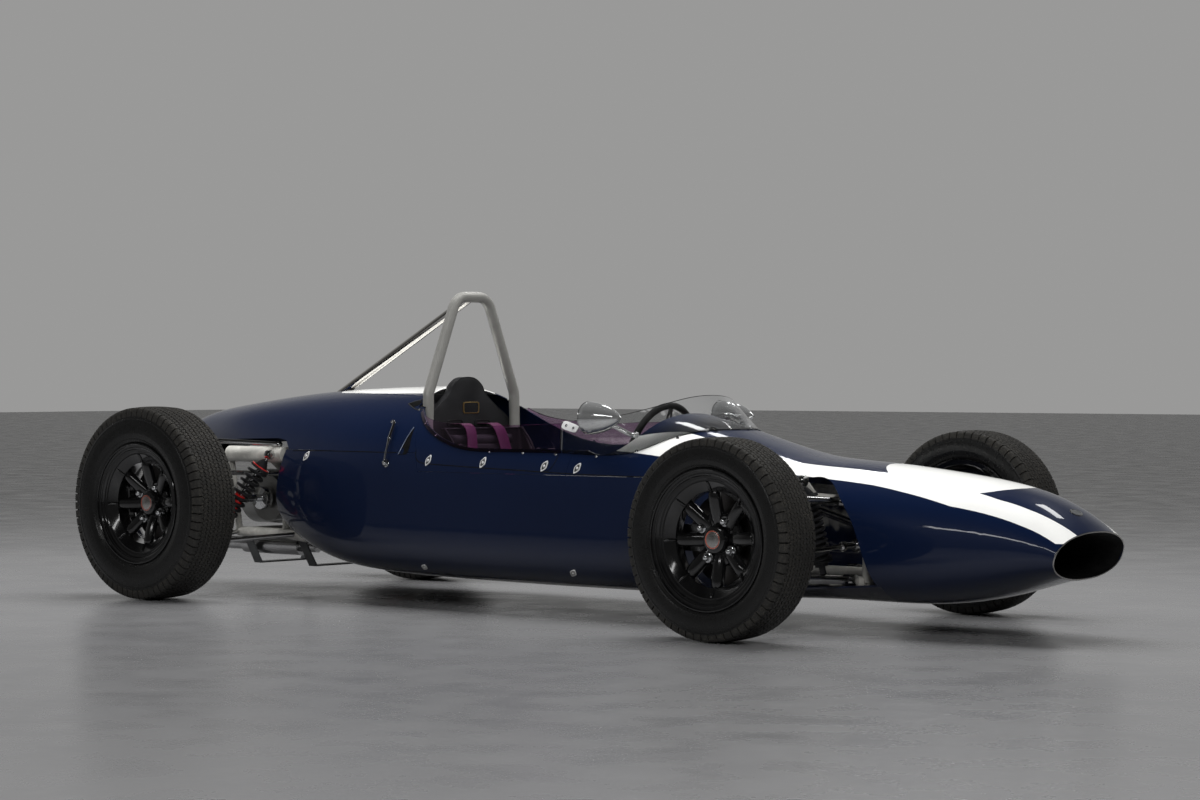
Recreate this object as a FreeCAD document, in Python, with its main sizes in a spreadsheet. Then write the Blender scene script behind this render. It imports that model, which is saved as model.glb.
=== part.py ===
"""Open wheel racing car of the early rear engined junior class, as an assembly of separate pieces.

Millimetres, +X to the nose, +Y to the car's left, +Z up, ground at Z = 0. The origin is on the
ground below the middle of the car. Every size is a cell of the Sizes sheet.
"""
import FreeCAD, Part
import math
import os

import Sketcher
from FreeCAD import Placement, Rotation, Vector

os.makedirs("parts", exist_ok=True)
doc = FreeCAD.newDocument("open_wheel_racing_car")
sheet = doc.addObject("Spreadsheet::Sheet", "Sizes")

SIZES = {
    # whole car
    "wheelbase": 2300, "front_overhang": 790, "rear_overhang": 490,
    "front_track": 1214, "rear_track": 1221,
    "body_half_width": 350, "deck_height": 678, "panel_thickness": 4, "panel_gap": 0.8,
    "cut_overrun": 40, "fit_gap": 0.3, "running_gap": 6,
    # body openings and seams
    "cover_front_low": 1395, "cover_front_mid": 1472, "cover_front_top": 1546,
    "cover_shoulder_height": 606, "scuttle_setback": 595, "nose_split_setback": 800, "split_lean": 60,
    "side_front_setback": 300, "seam_height": 418, "cover_seam_height": 474,
    "cockpit_sill_height": 492, "tray_half_width": 205,
    "inlet_lean": 0.346, "arch_height": 503, "panel_tail": 262, "side_floor": 60,
    "wheel_bay_front": 238, "wheel_bay_back": 150, "wheel_bay_height": 428, "wheel_bay_floor": 122,
    "screen_thickness": 3, "screen_length": 442, "screen_half_width": 300, "screen_top": 650,
    "screen_setback": 390, "screen_lap": 7, "screen_foot_gap": 0.5,
    "side_screen_height": 78,
    # tyres and wheels
    "front_tyre_radius": 273.4, "front_tyre_width": 148.5,
    "rear_tyre_radius": 306.3, "rear_tyre_width": 173,
    "flange_radius": 192, "bead_radius": 177, "well_depth": 17, "rim_wall": 5, "flange_thickness": 6,
    "front_rim_width": 134, "rear_rim_width": 156, "hub_face_offset": 15,
    "window_ring_radius": 137, "window_ring_back": 7,
    "wheel_hub_radius": 74, "wheel_hub_thickness": 27, "wheel_bore_radius": 24,
    "wheel_boss_radius": 38, "wheel_boss_height": 21,
    "spoke_root_radius": 13, "spoke_tip_radius": 10, "spoke_count": 8,
    "stud_circle_radius": 57, "stud_hole_radius": 8, "stud_radius": 6, "stud_count": 4,
    "nut_radius": 10, "nut_height": 10, "nut_dome": 6, "cap_height": 25, "cap_bevel": 2,
    # brakes and hubs
    "disc_radius": 125, "disc_thickness": 10, "disc_inset": 38, "disc_clearance": 2,
    "caliper_height": 72, "caliper_inner_cheek": 24, "caliper_outer_cheek": 10, "caliper_overhang": 14,
    "hub_radius": 30, "hub_flange_thickness": 10, "axle_radius": 13,
    "drive_cup_radius": 38, "drive_cup_length": 26, "drive_cup_gap": 26, "outer_joint_reach": 60,
    # steering
    "kingpin_inset": 100, "kingpin_lean": 8, "joint_spread": 108, "knuckle_neck": 15, "ball_radius": 13,
    "post_radius": 17, "socket_radius": 24, "axle_boss_radius": 27, "lug_half_height": 12,
    "steering_arm": 100, "steering_drop": 22, "steering_arm_bend": 30, "steering_arm_rise": 10,
    "rod_eye_inset": 4, "rod_eye_height": 14, "rod_eye_gap": 3,
    "rack_radius": 11, "rack_drop": 12, "track_rod_radius": 7, "rack_ball_radius": 15,
    "rack_half_length": 190, "rack_housing_radius": 19, "rack_overhang": 60,
    "clamp_inset": 25, "clamp_half_width": 14, "clamp_half_height": 5, "tower_wall": 8, "column_entry": 30,
    "steering_wheel_radius": 152, "grip_radius": 10.5, "steering_wheel_height": 476,
    "steering_wheel_setback": 682, "steering_boss_radius": 34, "steering_spoke_count": 3,
    "steering_spoke_width": 26, "steering_spoke_thickness": 4, "sleeve_wall": 8,
    "column_radius": 11, "column_end_gap": 8, "pinion_gap": 4,
    # frame and suspension
    "rail_radius": 16, "rail_bend_radius": 200, "bracket_thickness": 4, "brace_tube_radius": 12,
    "cross_tube_radius": 26, "dash_setback": 592, "seat_back_gap": 45, "seat_beam_reach": 220,
    "rear_frame_reach": 140, "high_rail_front_reach": 225, "high_rail_back_reach": 40, "tower_setback": 10,
    "frame_half_width": 212, "frame_floor": 140, "frame_rear_floor": 195, "frame_top": 392,
    "rear_rail_half_width": 250, "tower_half_width": 216, "tower_height": 409, "rear_rail_height": 455,
    "front_pivot_spread": 150, "front_pivot_half_width": 205,
    "arm_radius": 11, "link_radius": 8, "damper_radius": 15, "spring_radius": 30, "spring_wire": 5,
    "spring_turns": 6, "coilover_eye_radius": 15, "spring_seat_radius": 35, "spring_seat_thickness": 6,
    "spring_foot_share": 0.24, "bearing_radius": 40, "bearing_overhang": 8,
    "upright_half_depth": 14, "upright_half_width": 13, "upright_end": 14, "upper_link_gap": 4,
    "lower_link_rise": 28,
    "radiator_depth": 42, "radiator_half_width": 165, "radiator_height": 210,
    "latch_setback": 130, "latch_radius": 5, "latch_height": 118,
    # roll hoop
    "hoop_radius": 17, "brace_radius": 14.5, "hoop_top": 958, "hoop_top_half_width": 78,
    "hoop_bend_height": 655, "hoop_bend_half_width": 196, "hoop_foot_half_width": 202, "hoop_setback": 1485,
    "brace_foot_setback": 2120, "brace_foot_height": 629,
    # driver's place
    "seat_half_width": 182, "seat_thickness": 12, "seat_length": 470, "seat_gap": 14, "seat_top_rise": 100,
    "headrest_height": 706, "headrest_foot_height": 512, "headrest_thickness": 28,
    "dash_gap": 8, "dash_height": 164, "dash_thickness": 3,
    "mirror_half_width": 310, "mirror_height": 587, "mirror_radius": 48, "mirror_length": 128,
    "mirror_setback": 727, "stalk_radius": 7,
    # power unit
    "engine_length": 430, "engine_width": 300, "engine_height": 400, "engine_floor": 160, "engine_gap": 50,
    "engine_lug_half_width": 20, "gearbox_radius": 105, "bell_length": 110, "side_cover_depth": 18,
    "tail_casing_reach": 170, "tail_cone_length": 60,
    "exhaust_radius": 32, "pipe_wall": 2, "silencer_front": 130, "silencer_back": 140,
    "lead_pipe_length": 70, "tail_pipe_length": 150,
    "hoop_strip_width": 34, "hoop_strip_thickness": 5, "hoop_strip_level": 88,
    "back_strip_setback": 82, "front_strip_reach": 190,
}

for row, (alias, number) in enumerate(SIZES.items(), start=1):
    sheet.set(f"A{row}", alias)
    sheet.set(f"B{row}", str(number))
    sheet.setAlias(f"B{row}", alias)
doc.recompute()


def size(alias):
    """The number in one cell of the sheet."""
    return float(getattr(sheet, alias))


# Places that follow from the driving sizes
BODY_LENGTH = size("rear_overhang") + size("wheelbase") + size("front_overhang")
TAIL_X = -BODY_LENGTH / 2
FRONT_AXLE_X = BODY_LENGTH / 2 - size("front_overhang")
REAR_AXLE_X = FRONT_AXLE_X - size("wheelbase")
WALL = size("panel_thickness")
OVERRUN = size("cut_overrun")
TOP_OF_ALL = size("hoop_top") + OVERRUN
WIDE = size("body_half_width") + OVERRUN

# Body sections from tail to nose: place along the car, half width, top, bottom and widest level as
# shares of the body's length, half width and deck height, then the roundness powers above and below.
BODY_STATION_SHARES = [
    (0.0000, 0.070, 0.788, 0.735, 0.760, 2.0, 2.0),
    (0.0085, 0.165, 0.815, 0.700, 0.757, 2.0, 2.0),
    (0.0260, 0.275, 0.850, 0.655, 0.745, 2.1, 2.0),
    (0.0650, 0.440, 0.893, 0.590, 0.720, 2.1, 2.1),
    (0.1369, 0.680, 0.940, 0.470, 0.640, 2.2, 2.3),
    (0.2039, 0.850, 0.973, 0.260, 0.520, 2.2, 3.0),
    (0.2821, 0.960, 0.992, 0.150, 0.460, 2.25, 4.0),
    (0.3883, 1.000, 1.000, 0.130, 0.440, 2.3, 4.4),
    (0.5000, 1.000, 0.977, 0.125, 0.440, 2.3, 4.4),
    (0.6126, 0.930, 0.889, 0.121, 0.430, 2.3, 4.2),
    (0.7059, 0.820, 0.762, 0.120, 0.410, 2.3, 3.8),
    (0.8045, 0.740, 0.690, 0.120, 0.390, 2.3, 2.8),
    (0.8770, 0.680, 0.655, 0.124, 0.370, 2.25, 2.4),
    (0.9300, 0.610, 0.614, 0.170, 0.360, 2.2, 2.3),
]
# The inlet's rim: half width, centre height and half height as shares of the same sizes
INLET_WIDTH_SHARE = 0.497
INLET_CENTRE_SHARE = 0.342
INLET_HEIGHT_SHARE = 0.0975
INLET_POWER = 2.2
SECTION_POINTS = 16


def superellipse(angle, power):
    """Sine and cosine of an angle, squared off by a roundness power."""
    cosine = math.cos(angle)
    sine = math.sin(angle)
    squared_cosine = math.copysign(abs(cosine) ** (2 / power), cosine)
    squared_sine = math.copysign(abs(sine) ** (2 / power), sine)
    return squared_cosine, squared_sine


def section_wire(x, half_width, top, bottom, widest, top_power, bottom_power, lean):
    """Closed smooth section of the body; lean tips its top towards the nose."""
    points = []
    for step in range(SECTION_POINTS):
        angle = 2 * math.pi * step / SECTION_POINTS - math.pi / 2
        upper = math.sin(angle) > 0
        across, up = superellipse(angle, top_power if upper else bottom_power)
        z = widest + up * ((top - widest) if upper else (widest - bottom))
        points.append(Vector(x + lean * (z - widest), half_width * across, z))
    curve = Part.BSplineCurve()
    curve.interpolate(Points=points, PeriodicFlag=True)
    return Part.Wire([curve.toShape()])


def body_solid(inset):
    """The body's closed form, its skin moved inwards by inset."""
    half_width = size("body_half_width")
    deck = size("deck_height")
    wires = []
    for share in BODY_STATION_SHARES:
        along, wide, top, bottom, widest, top_power, bottom_power = share
        if inset and not wires and along == 0:
            along = inset / BODY_LENGTH
        wires.append(section_wire(TAIL_X + along * BODY_LENGTH, wide * half_width - inset,
                                  top * deck - inset, bottom * deck + inset, widest * deck,
                                  top_power, bottom_power, 0))
    lean = size("inlet_lean")
    rim_half_height = INLET_HEIGHT_SHARE * deck
    centre_z = INLET_CENTRE_SHARE * deck
    centre_x = -TAIL_X - lean * rim_half_height
    wires.append(section_wire(centre_x, INLET_WIDTH_SHARE * half_width - inset,
                              centre_z + rim_half_height - inset, centre_z - rim_half_height + inset,
                              centre_z, INLET_POWER, INLET_POWER, lean))
    return Part.makeLoft(wires, True, False)


def skin_y(x, z, body=None):
    """Half width of the body's outer skin, or of another form, at one place and height."""
    ray = Part.makeLine(Vector(x, 0, z), Vector(x, WIDE, z))
    return ray.common(body or outer_body).BoundBox.YMax


def skin_z(x, y, body=None):
    """Height of the body's outer skin, or of another form, above one place."""
    ray = Part.makeLine(Vector(x, y, size("seam_height")), Vector(x, y, TOP_OF_ALL))
    return ray.common(body or outer_body).BoundBox.ZMax


def stood_off(shape, point, gap):
    """The point a gap out from the surface nearest to a point, and the way out of the surface there."""
    spot = Part.Vertex(point)
    nearest = shape.Shells[0].distToShape(spot)[1][0][0]
    way = (nearest - point) if shape.isInside(point, 0.001, False) else (point - nearest)
    way = way.normalize()
    return nearest + way * gap, way


def side_prism(points, y_from, y_to):
    """Solid whose outline in side view is the polygon of (x, z) points."""
    corners = [Vector(x, y_from, z) for x, z in points]
    face = Part.Face(Part.makePolygon(corners + corners[:1]))
    return face.extrude(Vector(0, y_to - y_from, 0))


def box(x_from, x_to, y_from, y_to, z_from, z_to):
    """Solid block between two corners."""
    return Part.makeBox(x_to - x_from, y_to - y_from, z_to - z_from, Vector(x_from, y_from, z_from))


def feature(label, shape, placement=None):
    """Sub-part whose shape is set here, from sizes in the sheet."""
    thing = doc.addObject("Part::Feature", label)
    thing.Label = label
    thing.Shape = shape
    if placement is not None:
        thing.Placement = placement
    return thing


def rod(start, end, radius):
    """Round bar between two points."""
    along = end - start
    return Part.makeCylinder(radius, along.Length, start, along)


def ball(centre, radius):
    """Solid ball."""
    return Part.makeSphere(radius, centre)


def fused(shapes):
    """One solid from shapes that meet."""
    return shapes[0].multiFuse(shapes[1:]).removeSplitter()


def mirrored(shape):
    """The same shape on the other side of the car."""
    return shape.mirror(Vector(0, 0, 0), Vector(0, 1, 0))


def pair(shape):
    """A left piece and its mirror image, as two solids."""
    return Part.makeCompound([shape, mirrored(shape)])


def bent_rod(points, bend_radius, radius):
    """Round bar along straight runs joined by tangent arcs."""
    edges = []
    start = points[0]
    for before, corner, after in zip(points, points[1:], points[2:]):
        inward = (before - corner).normalize()
        outward = (after - corner).normalize()
        half_turn = (math.pi - inward.getAngle(outward)) / 2
        reach = bend_radius * math.tan(half_turn)
        arc_start = corner + inward * reach
        arc_end = corner + outward * reach
        middle_way = (inward + outward).normalize()
        centre_way = bend_radius / math.cos(half_turn)
        arc_middle = corner + middle_way * (centre_way - bend_radius)
        edges.append(Part.LineSegment(start, arc_start).toShape())
        edges.append(Part.Arc(arc_start, arc_middle, arc_end).toShape())
        start = arc_end
    edges.append(Part.LineSegment(start, points[-1]).toShape())
    path = Part.Wire(edges)
    profile = Part.Wire([Part.Circle(points[0], points[1] - points[0], radius).toShape()])
    return path.makePipeShell([profile], True, False)


def smooth_edge(points):
    """Smooth curve through points."""
    curve = Part.BSplineCurve()
    curve.interpolate(Points=points)
    return curve


SEAM_TOLERANCE = 1e-4


def ribbon(base, top, inward, thickness):
    """Thin solid between two curves, with its thickness laid off along the inward directions."""
    base_in = [point + way * thickness for point, way in zip(base, inward)]
    top_in = [point + way * thickness for point, way in zip(top, inward)]
    edges = [smooth_edge(points).toShape() for points in (base, top, top_in, base_in)]
    sides = [Part.makeRuledSurface(edges[i], edges[(i + 1) % 4]) for i in range(4)]
    ends = []
    for last in (0, -1):
        loop = [base[last], top[last], top_in[last], base_in[last]]
        across = Part.makeLine(loop[0], loop[1])
        back = Part.makeLine(loop[3], loop[2])
        ends.append(Part.makeRuledSurface(across, back))
    shell = Part.Shell(sides + ends)
    shell.sewShape()
    solid = Part.Solid(shell)
    solid.fix(SEAM_TOLERANCE, SEAM_TOLERANCE, SEAM_TOLERANCE)
    return solid if solid.Volume > 0 else solid.reversed()


# Body panels

outer_body = body_solid(0)
inner_body = body_solid(WALL)
body_skin = outer_body.cut(inner_body)

SEAM_Z = size("seam_height")
COVER_SEAM_Z = size("cover_seam_height")
GAP = size("panel_gap")
DECK = size("deck_height")
TRAY = size("tray_half_width")
NOSE_SPLIT_X = FRONT_AXLE_X - size("nose_split_setback")
SPLIT_LEAN = size("split_lean")
SIDE_FRONT_X = FRONT_AXLE_X - size("side_front_setback")
COVER_FRONT_LOW_X = FRONT_AXLE_X - size("cover_front_low")
COVER_FRONT_MID_X = FRONT_AXLE_X - size("cover_front_mid")
COVER_FRONT_TOP_X = FRONT_AXLE_X - size("cover_front_top")
SIDE_TAIL_X = REAR_AXLE_X + size("panel_tail")
BAY_BACK_X = FRONT_AXLE_X - size("wheel_bay_back")
BAY_FRONT_X = FRONT_AXLE_X + size("wheel_bay_front")
LOW = -OVERRUN
SHOULDER_Z = size("cover_shoulder_height")


def cover_seam_x(z):
    """Place along the car of the seam in front of the engine cover, at one height."""
    if z < SHOULDER_Z:
        rise = (z - SEAM_Z) / (SHOULDER_Z - SEAM_Z)
        return COVER_FRONT_LOW_X + rise * (COVER_FRONT_MID_X - COVER_FRONT_LOW_X)
    rise = (z - SHOULDER_Z) / (DECK - SHOULDER_Z)
    return COVER_FRONT_MID_X + rise * (COVER_FRONT_TOP_X - COVER_FRONT_MID_X)


def cockpit_cut():
    """Prism over the cockpit: everything above the sill, with a sweep up at each end."""
    sill = size("cockpit_sill_height")
    front = FRONT_AXLE_X - size("scuttle_setback")
    rise = DECK - sill
    back_sweep = cockpit_back_sweep()
    front_sweep = [(front - 0.8 * rise, sill), (front - 0.2 * rise, sill + 0.05 * rise),
                   (front, sill + 0.3 * rise), (front + 0.02 * rise, DECK + OVERRUN)]
    back_points = [Vector(x, -WIDE, z) for x, z in back_sweep]
    front_points = [Vector(x, -WIDE, z) for x, z in front_sweep]
    above = Vector(cover_seam_x(DECK) + GAP, -WIDE, DECK + 2 * OVERRUN)
    edges = [Part.makeLine(above, back_points[0]), smooth_edge(back_points).toShape(),
             Part.makeLine(back_points[-1], front_points[0]), smooth_edge(front_points).toShape(),
             Part.makeLine(front_points[-1], above)]
    return Part.Face(Part.Wire(edges)).extrude(Vector(0, 2 * WIDE, 0))


def cockpit_back_sweep():
    """Curve of the cockpit's edge from its rear corner down to the sill, as (x, z) points."""
    sill = size("cockpit_sill_height")
    rise = SHOULDER_Z - sill
    rear = COVER_FRONT_MID_X + GAP
    return [(rear, SHOULDER_Z), (rear + 0.46 * rise, sill + 0.65 * rise),
            (rear + 1.06 * rise, sill + 0.34 * rise), (rear + 2.6 * rise, sill)]


def wheel_bay_cut():
    """Prism that opens the left side of the nose round the front suspension."""
    floor = size("wheel_bay_floor")
    top = size("wheel_bay_height")
    tall = top - floor
    reach = size("wheel_bay_front")
    round_off = 0.15 * tall
    rear_top = [(BAY_BACK_X, top - round_off), (BAY_BACK_X + 0.3 * round_off, top - 0.3 * round_off),
                (BAY_BACK_X + round_off, top)]
    axle = FRONT_AXLE_X
    sweep = [(axle - 0.02 * reach, top), (axle + 0.27 * reach, top - 0.04 * tall),
             (axle + 0.47 * reach, top - 0.16 * tall), (axle + 0.70 * reach, top - 0.36 * tall),
             (axle + 0.88 * reach, top - 0.70 * tall), (BAY_FRONT_X, floor - OVERRUN)]
    rear_points = [Vector(x, 0.8 * TRAY, z) for x, z in rear_top]
    front_points = [Vector(x, 0.8 * TRAY, z) for x, z in sweep]
    corner = Vector(BAY_BACK_X, 0.8 * TRAY, floor - OVERRUN)
    edges = [Part.makeLine(corner, rear_points[0]), smooth_edge(rear_points).toShape(),
             Part.makeLine(rear_points[-1], front_points[0]), smooth_edge(front_points).toShape(),
             Part.makeLine(front_points[-1], corner)]
    return Part.Face(Part.Wire(edges)).extrude(Vector(0, WIDE, 0))


def nose_panel():
    """Front body section from the inlet back to the scuttle, open at the cockpit and wheel bays."""
    outline = [(NOSE_SPLIT_X, SEAM_Z + GAP), (SIDE_FRONT_X, SEAM_Z + GAP), (SIDE_FRONT_X, LOW),
               (-TAIL_X + OVERRUN, LOW), (-TAIL_X + OVERRUN, TOP_OF_ALL),
               (NOSE_SPLIT_X + SPLIT_LEAN, TOP_OF_ALL)]
    panel = body_skin.common(side_prism(outline, -WIDE, WIDE)).cut(cockpit_cut())
    bay = wheel_bay_cut()
    panel = panel.cut(bay).cut(mirrored(bay))
    floor_gap = box(SIDE_FRONT_X - OVERRUN, BAY_FRONT_X + GAP, -TRAY - GAP, TRAY + GAP, LOW,
                    size("wheel_bay_floor") + OVERRUN)
    return panel.cut(floor_gap)


def surround_panels():
    """The two strips of bodywork beside the cockpit."""
    outline = [(cover_seam_x(SEAM_Z) + GAP, SEAM_Z + GAP), (NOSE_SPLIT_X - GAP, SEAM_Z + GAP),
               (NOSE_SPLIT_X + SPLIT_LEAN - GAP, TOP_OF_ALL), (COVER_FRONT_MID_X + GAP, TOP_OF_ALL),
               (COVER_FRONT_MID_X + GAP, SHOULDER_Z)]
    return body_skin.common(side_prism(outline, -WIDE, WIDE)).cut(cockpit_cut())


def cover_panel():
    """Engine cover and tail, arched over the rear suspension and open below."""
    arch = size("arch_height")
    step = arch - COVER_SEAM_Z
    outline = [(cover_seam_x(COVER_SEAM_Z), COVER_SEAM_Z + GAP), (COVER_FRONT_MID_X, SHOULDER_Z),
               (COVER_FRONT_TOP_X, DECK), (COVER_FRONT_TOP_X, TOP_OF_ALL),
               (TAIL_X - OVERRUN, TOP_OF_ALL), (TAIL_X - OVERRUN, LOW),
               (TAIL_X + 0.2 * size("rear_overhang"), LOW),
               (TAIL_X + 0.3 * size("rear_overhang"), COVER_SEAM_Z),
               (REAR_AXLE_X - step, arch), (SIDE_TAIL_X - 2 * step, arch + 0.2 * step),
               (SIDE_TAIL_X - 0.5 * step, arch), (SIDE_TAIL_X + 0.5 * step, COVER_SEAM_Z + GAP)]
    cover = body_skin.common(side_prism(outline, -WIDE, WIDE))
    brace = rod(BRACE_FOOT, BRACE_HEAD, size("hoop_radius") + size("running_gap"))
    cover = cover.cut(brace)
    slot = size("hoop_radius") + 0.5 * size("running_gap")
    for y in (size("hoop_foot_half_width"), -size("hoop_foot_half_width")):
        cover = cover.cut(box(HOOP_X - slot, HOOP_X + 4 * slot, y - slot, y + slot, SEAM_Z, TOP_OF_ALL))
    return cover


def side_panel():
    """Lower left side from the rear suspension to the front wheel."""
    tall = SEAM_Z - size("side_floor")
    back = SIDE_TAIL_X
    outline = [(back, COVER_SEAM_Z), (back - 0.07 * tall, COVER_SEAM_Z - 0.25 * tall),
               (back - 0.1 * tall, SEAM_Z - 0.3 * tall), (back - 0.04 * tall, SEAM_Z - 0.55 * tall),
               (back + 0.12 * tall, SEAM_Z - 0.75 * tall), (back + 0.34 * tall, SEAM_Z - 0.88 * tall)]
    curve = smooth_edge([Vector(x, TRAY + GAP, z) for x, z in outline]).toShape()
    rest = [outline[-1], (SIDE_TAIL_X + 0.6 * tall, LOW), (SIDE_FRONT_X - GAP, LOW),
            (SIDE_FRONT_X - GAP, SEAM_Z), (cover_seam_x(SEAM_Z), SEAM_Z),
            (cover_seam_x(COVER_SEAM_Z), COVER_SEAM_Z), outline[0]]
    lines = Part.makePolygon([Vector(x, TRAY + GAP, z) for x, z in rest])
    region = Part.Face(Part.Wire([curve] + lines.Edges)).extrude(Vector(0, WIDE, 0))
    return body_skin.common(region)


def tray_panel():
    """Flat-bottomed belly between the side panels."""
    flat = box(SIDE_TAIL_X + 0.25 * SEAM_Z, BAY_FRONT_X, -TRAY, TRAY, LOW, size("wheel_bay_floor") + OVERRUN)
    return body_skin.common(flat)


# Roll hoop line: top arc, shoulder bends and feet in one cross plane
HOOP_X = FRONT_AXLE_X - size("hoop_setback")
BRACE_HEAD = Vector(HOOP_X - size("hoop_radius"), 0, size("hoop_top") - 0.4 * size("hoop_radius"))
BRACE_FOOT = Vector(FRONT_AXLE_X - size("brace_foot_setback"), 0, size("brace_foot_height"))


# Frame: four long rails, cross frames and the suspension's cross tubes
RAIL = size("rail_radius")
FRAME_Y = size("frame_half_width")
PIVOT_Y = size("front_pivot_half_width")
FLOOR_Z = size("frame_floor")
RAIL_Z = size("frame_top")
FRONT_BULKHEAD_X = FRONT_AXLE_X + size("front_pivot_spread")
DASH_X = FRONT_AXLE_X - size("dash_setback")
SEAT_BACK_X = HOOP_X - size("seat_back_gap")
REAR_FRAME_X = REAR_AXLE_X + size("rear_frame_reach")
REAR_END_X = REAR_AXLE_X - 0.2 * size("rear_overhang")
REAR_FLOOR_Z = size("frame_rear_floor")
HIGH_RAIL_Z = size("rear_rail_height")
HIGH_RAIL_FRONT_X = REAR_AXLE_X + size("high_rail_front_reach")
HIGH_RAIL_BACK_X = REAR_AXLE_X - size("high_rail_back_reach")
NOSE_FRAME_Y = 0.72 * PIVOT_Y
REAR_FRAME_Y = 0.8 * FRAME_Y
REAR_END_Y = 0.75 * FRAME_Y
HIGH_RAIL_Y = size("rear_rail_half_width")
SEAT_BEAM_X = SEAT_BACK_X + size("seat_beam_reach")
# Short sloping tube that carries the top of the front spring unit
TOWER_X = FRONT_AXLE_X - size("tower_setback")
FRONT_TOWER = ((TOWER_X, 0.82 * PIVOT_Y, RAIL_Z - 1.5 * RAIL),
               (TOWER_X, size("tower_half_width"), size("tower_height")))


def rail_lines():
    """Corner points of the frame's bent rails, left side, each with its tube radius."""
    nose_top = RAIL_Z - 2 * RAIL
    return [
        ([(FRONT_BULKHEAD_X, NOSE_FRAME_Y, FLOOR_Z), (DASH_X, FRAME_Y, FLOOR_Z),
          (SEAT_BACK_X, FRAME_Y, FLOOR_Z), (REAR_FRAME_X, REAR_FRAME_Y, REAR_FLOOR_Z),
          (REAR_END_X, REAR_END_Y, REAR_FLOOR_Z)], RAIL),
        ([(FRONT_BULKHEAD_X, NOSE_FRAME_Y, nose_top), (DASH_X, FRAME_Y, RAIL_Z),
          (SEAT_BACK_X, FRAME_Y, RAIL_Z), (REAR_FRAME_X, REAR_FRAME_Y, RAIL_Z)], RAIL),
        ([(HIGH_RAIL_FRONT_X, HIGH_RAIL_Y, HIGH_RAIL_Z), (HIGH_RAIL_BACK_X, HIGH_RAIL_Y, HIGH_RAIL_Z)],
         size("cross_tube_radius")),
    ]


def brace_lines():
    """End points of the frame's smaller upright and sloping tubes, left side."""
    nose_top = RAIL_Z - 2 * RAIL
    return [
        ((FRONT_BULKHEAD_X, NOSE_FRAME_Y, FLOOR_Z), (FRONT_BULKHEAD_X, NOSE_FRAME_Y, nose_top)),
        ((DASH_X, FRAME_Y, FLOOR_Z), (DASH_X, FRAME_Y, RAIL_Z)),
        ((SEAT_BACK_X, FRAME_Y, FLOOR_Z), (SEAT_BACK_X, FRAME_Y, RAIL_Z)),
        ((DASH_X, FRAME_Y, RAIL_Z), (HOOP_X + 0.45 * (DASH_X - HOOP_X), FRAME_Y, FLOOR_Z)),
        ((REAR_FRAME_X, REAR_FRAME_Y, REAR_FLOOR_Z), (REAR_FRAME_X, REAR_FRAME_Y, RAIL_Z)),
        ((REAR_FRAME_X, REAR_FRAME_Y, RAIL_Z), (REAR_FRAME_X, HIGH_RAIL_Y, HIGH_RAIL_Z)),
        ((HIGH_RAIL_BACK_X, HIGH_RAIL_Y, HIGH_RAIL_Z), (REAR_END_X, REAR_END_Y, REAR_FLOOR_Z)),
        FRONT_TOWER,
    ]


def cross_lines():
    """Left ends of the tubes that run straight across the car."""
    return [
        (FRONT_BULKHEAD_X, NOSE_FRAME_Y, FLOOR_Z), (FRONT_BULKHEAD_X, NOSE_FRAME_Y, RAIL_Z - 2 * RAIL),
        (DASH_X, FRAME_Y, RAIL_Z), (SEAT_BACK_X, FRAME_Y, FLOOR_Z), (SEAT_BACK_X, FRAME_Y, RAIL_Z),
        (SEAT_BEAM_X, FRAME_Y, FLOOR_Z),
        (REAR_END_X, REAR_END_Y, REAR_FLOOR_Z), (REAR_FRAME_X, HIGH_RAIL_Y, HIGH_RAIL_Z),
    ]


def frame_shape(extra=0):
    """Tubes of the frame, or the same tubes made thicker by extra for cutting seats."""
    small = size("brace_tube_radius") + extra
    half_frame = []
    for corners, radius in rail_lines():
        points = [Vector(*corner) for corner in corners]
        half_frame.append(bent_rod(points, size("rail_bend_radius"), radius + extra))
    for start, end in brace_lines():
        half_frame.append(rod(Vector(*start), Vector(*end), small))
    shapes = half_frame + [mirrored(shape) for shape in half_frame]
    for x, y, z in cross_lines():
        shapes.append(rod(Vector(x, -y, z), Vector(x, y, z), small))
    return shapes


def panel_brackets():
    """Small plates from the frame's tubes out to the panels, ending a fit gap short of the skin."""
    half = size("brace_tube_radius")
    thin = size("bracket_thickness")
    gap = size("fit_gap")
    plates = []
    for x in (DASH_X, SEAT_BACK_X, (SEAT_BACK_X + REAR_FRAME_X) / 2):
        spots = [(x + end, z) for end in (-half, half) for z in (RAIL_Z - thin, RAIL_Z)]
        reach = min(skin_y(*spot, inner_body) for spot in spots) - gap
        plate = box(x - half, x + half, 0.88 * FRAME_Y, reach, RAIL_Z - thin, RAIL_Z)
        plates += [plate, mirrored(plate)]
    x = FRONT_BULKHEAD_X
    plates.append(box(x - thin, x, -half, half, RAIL_Z - 2 * RAIL, skin_z(x, half, inner_body) - gap))
    x = REAR_FRAME_X
    y = 0.6 * FRAME_Y
    plate = box(x - thin, x, y - half, y + half, HIGH_RAIL_Z, skin_z(x - thin, y + half, inner_body) - gap)
    return plates + [plate, mirrored(plate)]


def chassis_frame():
    """The welded frame in one piece."""
    shapes = frame_shape() + panel_brackets()
    return shapes[0].multiFuse(shapes[1:])


FRAME_SEATS = frame_shape(size("fit_gap"))


def seated(shape):
    """A piece cut back where it meets the frame, so that it only touches it."""
    near = [tube for tube in FRAME_SEATS if tube.BoundBox.intersect(shape.BoundBox)]
    return shape.cut(Part.makeCompound(near)) if near else shape


# Roll hoop and its brace


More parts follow.
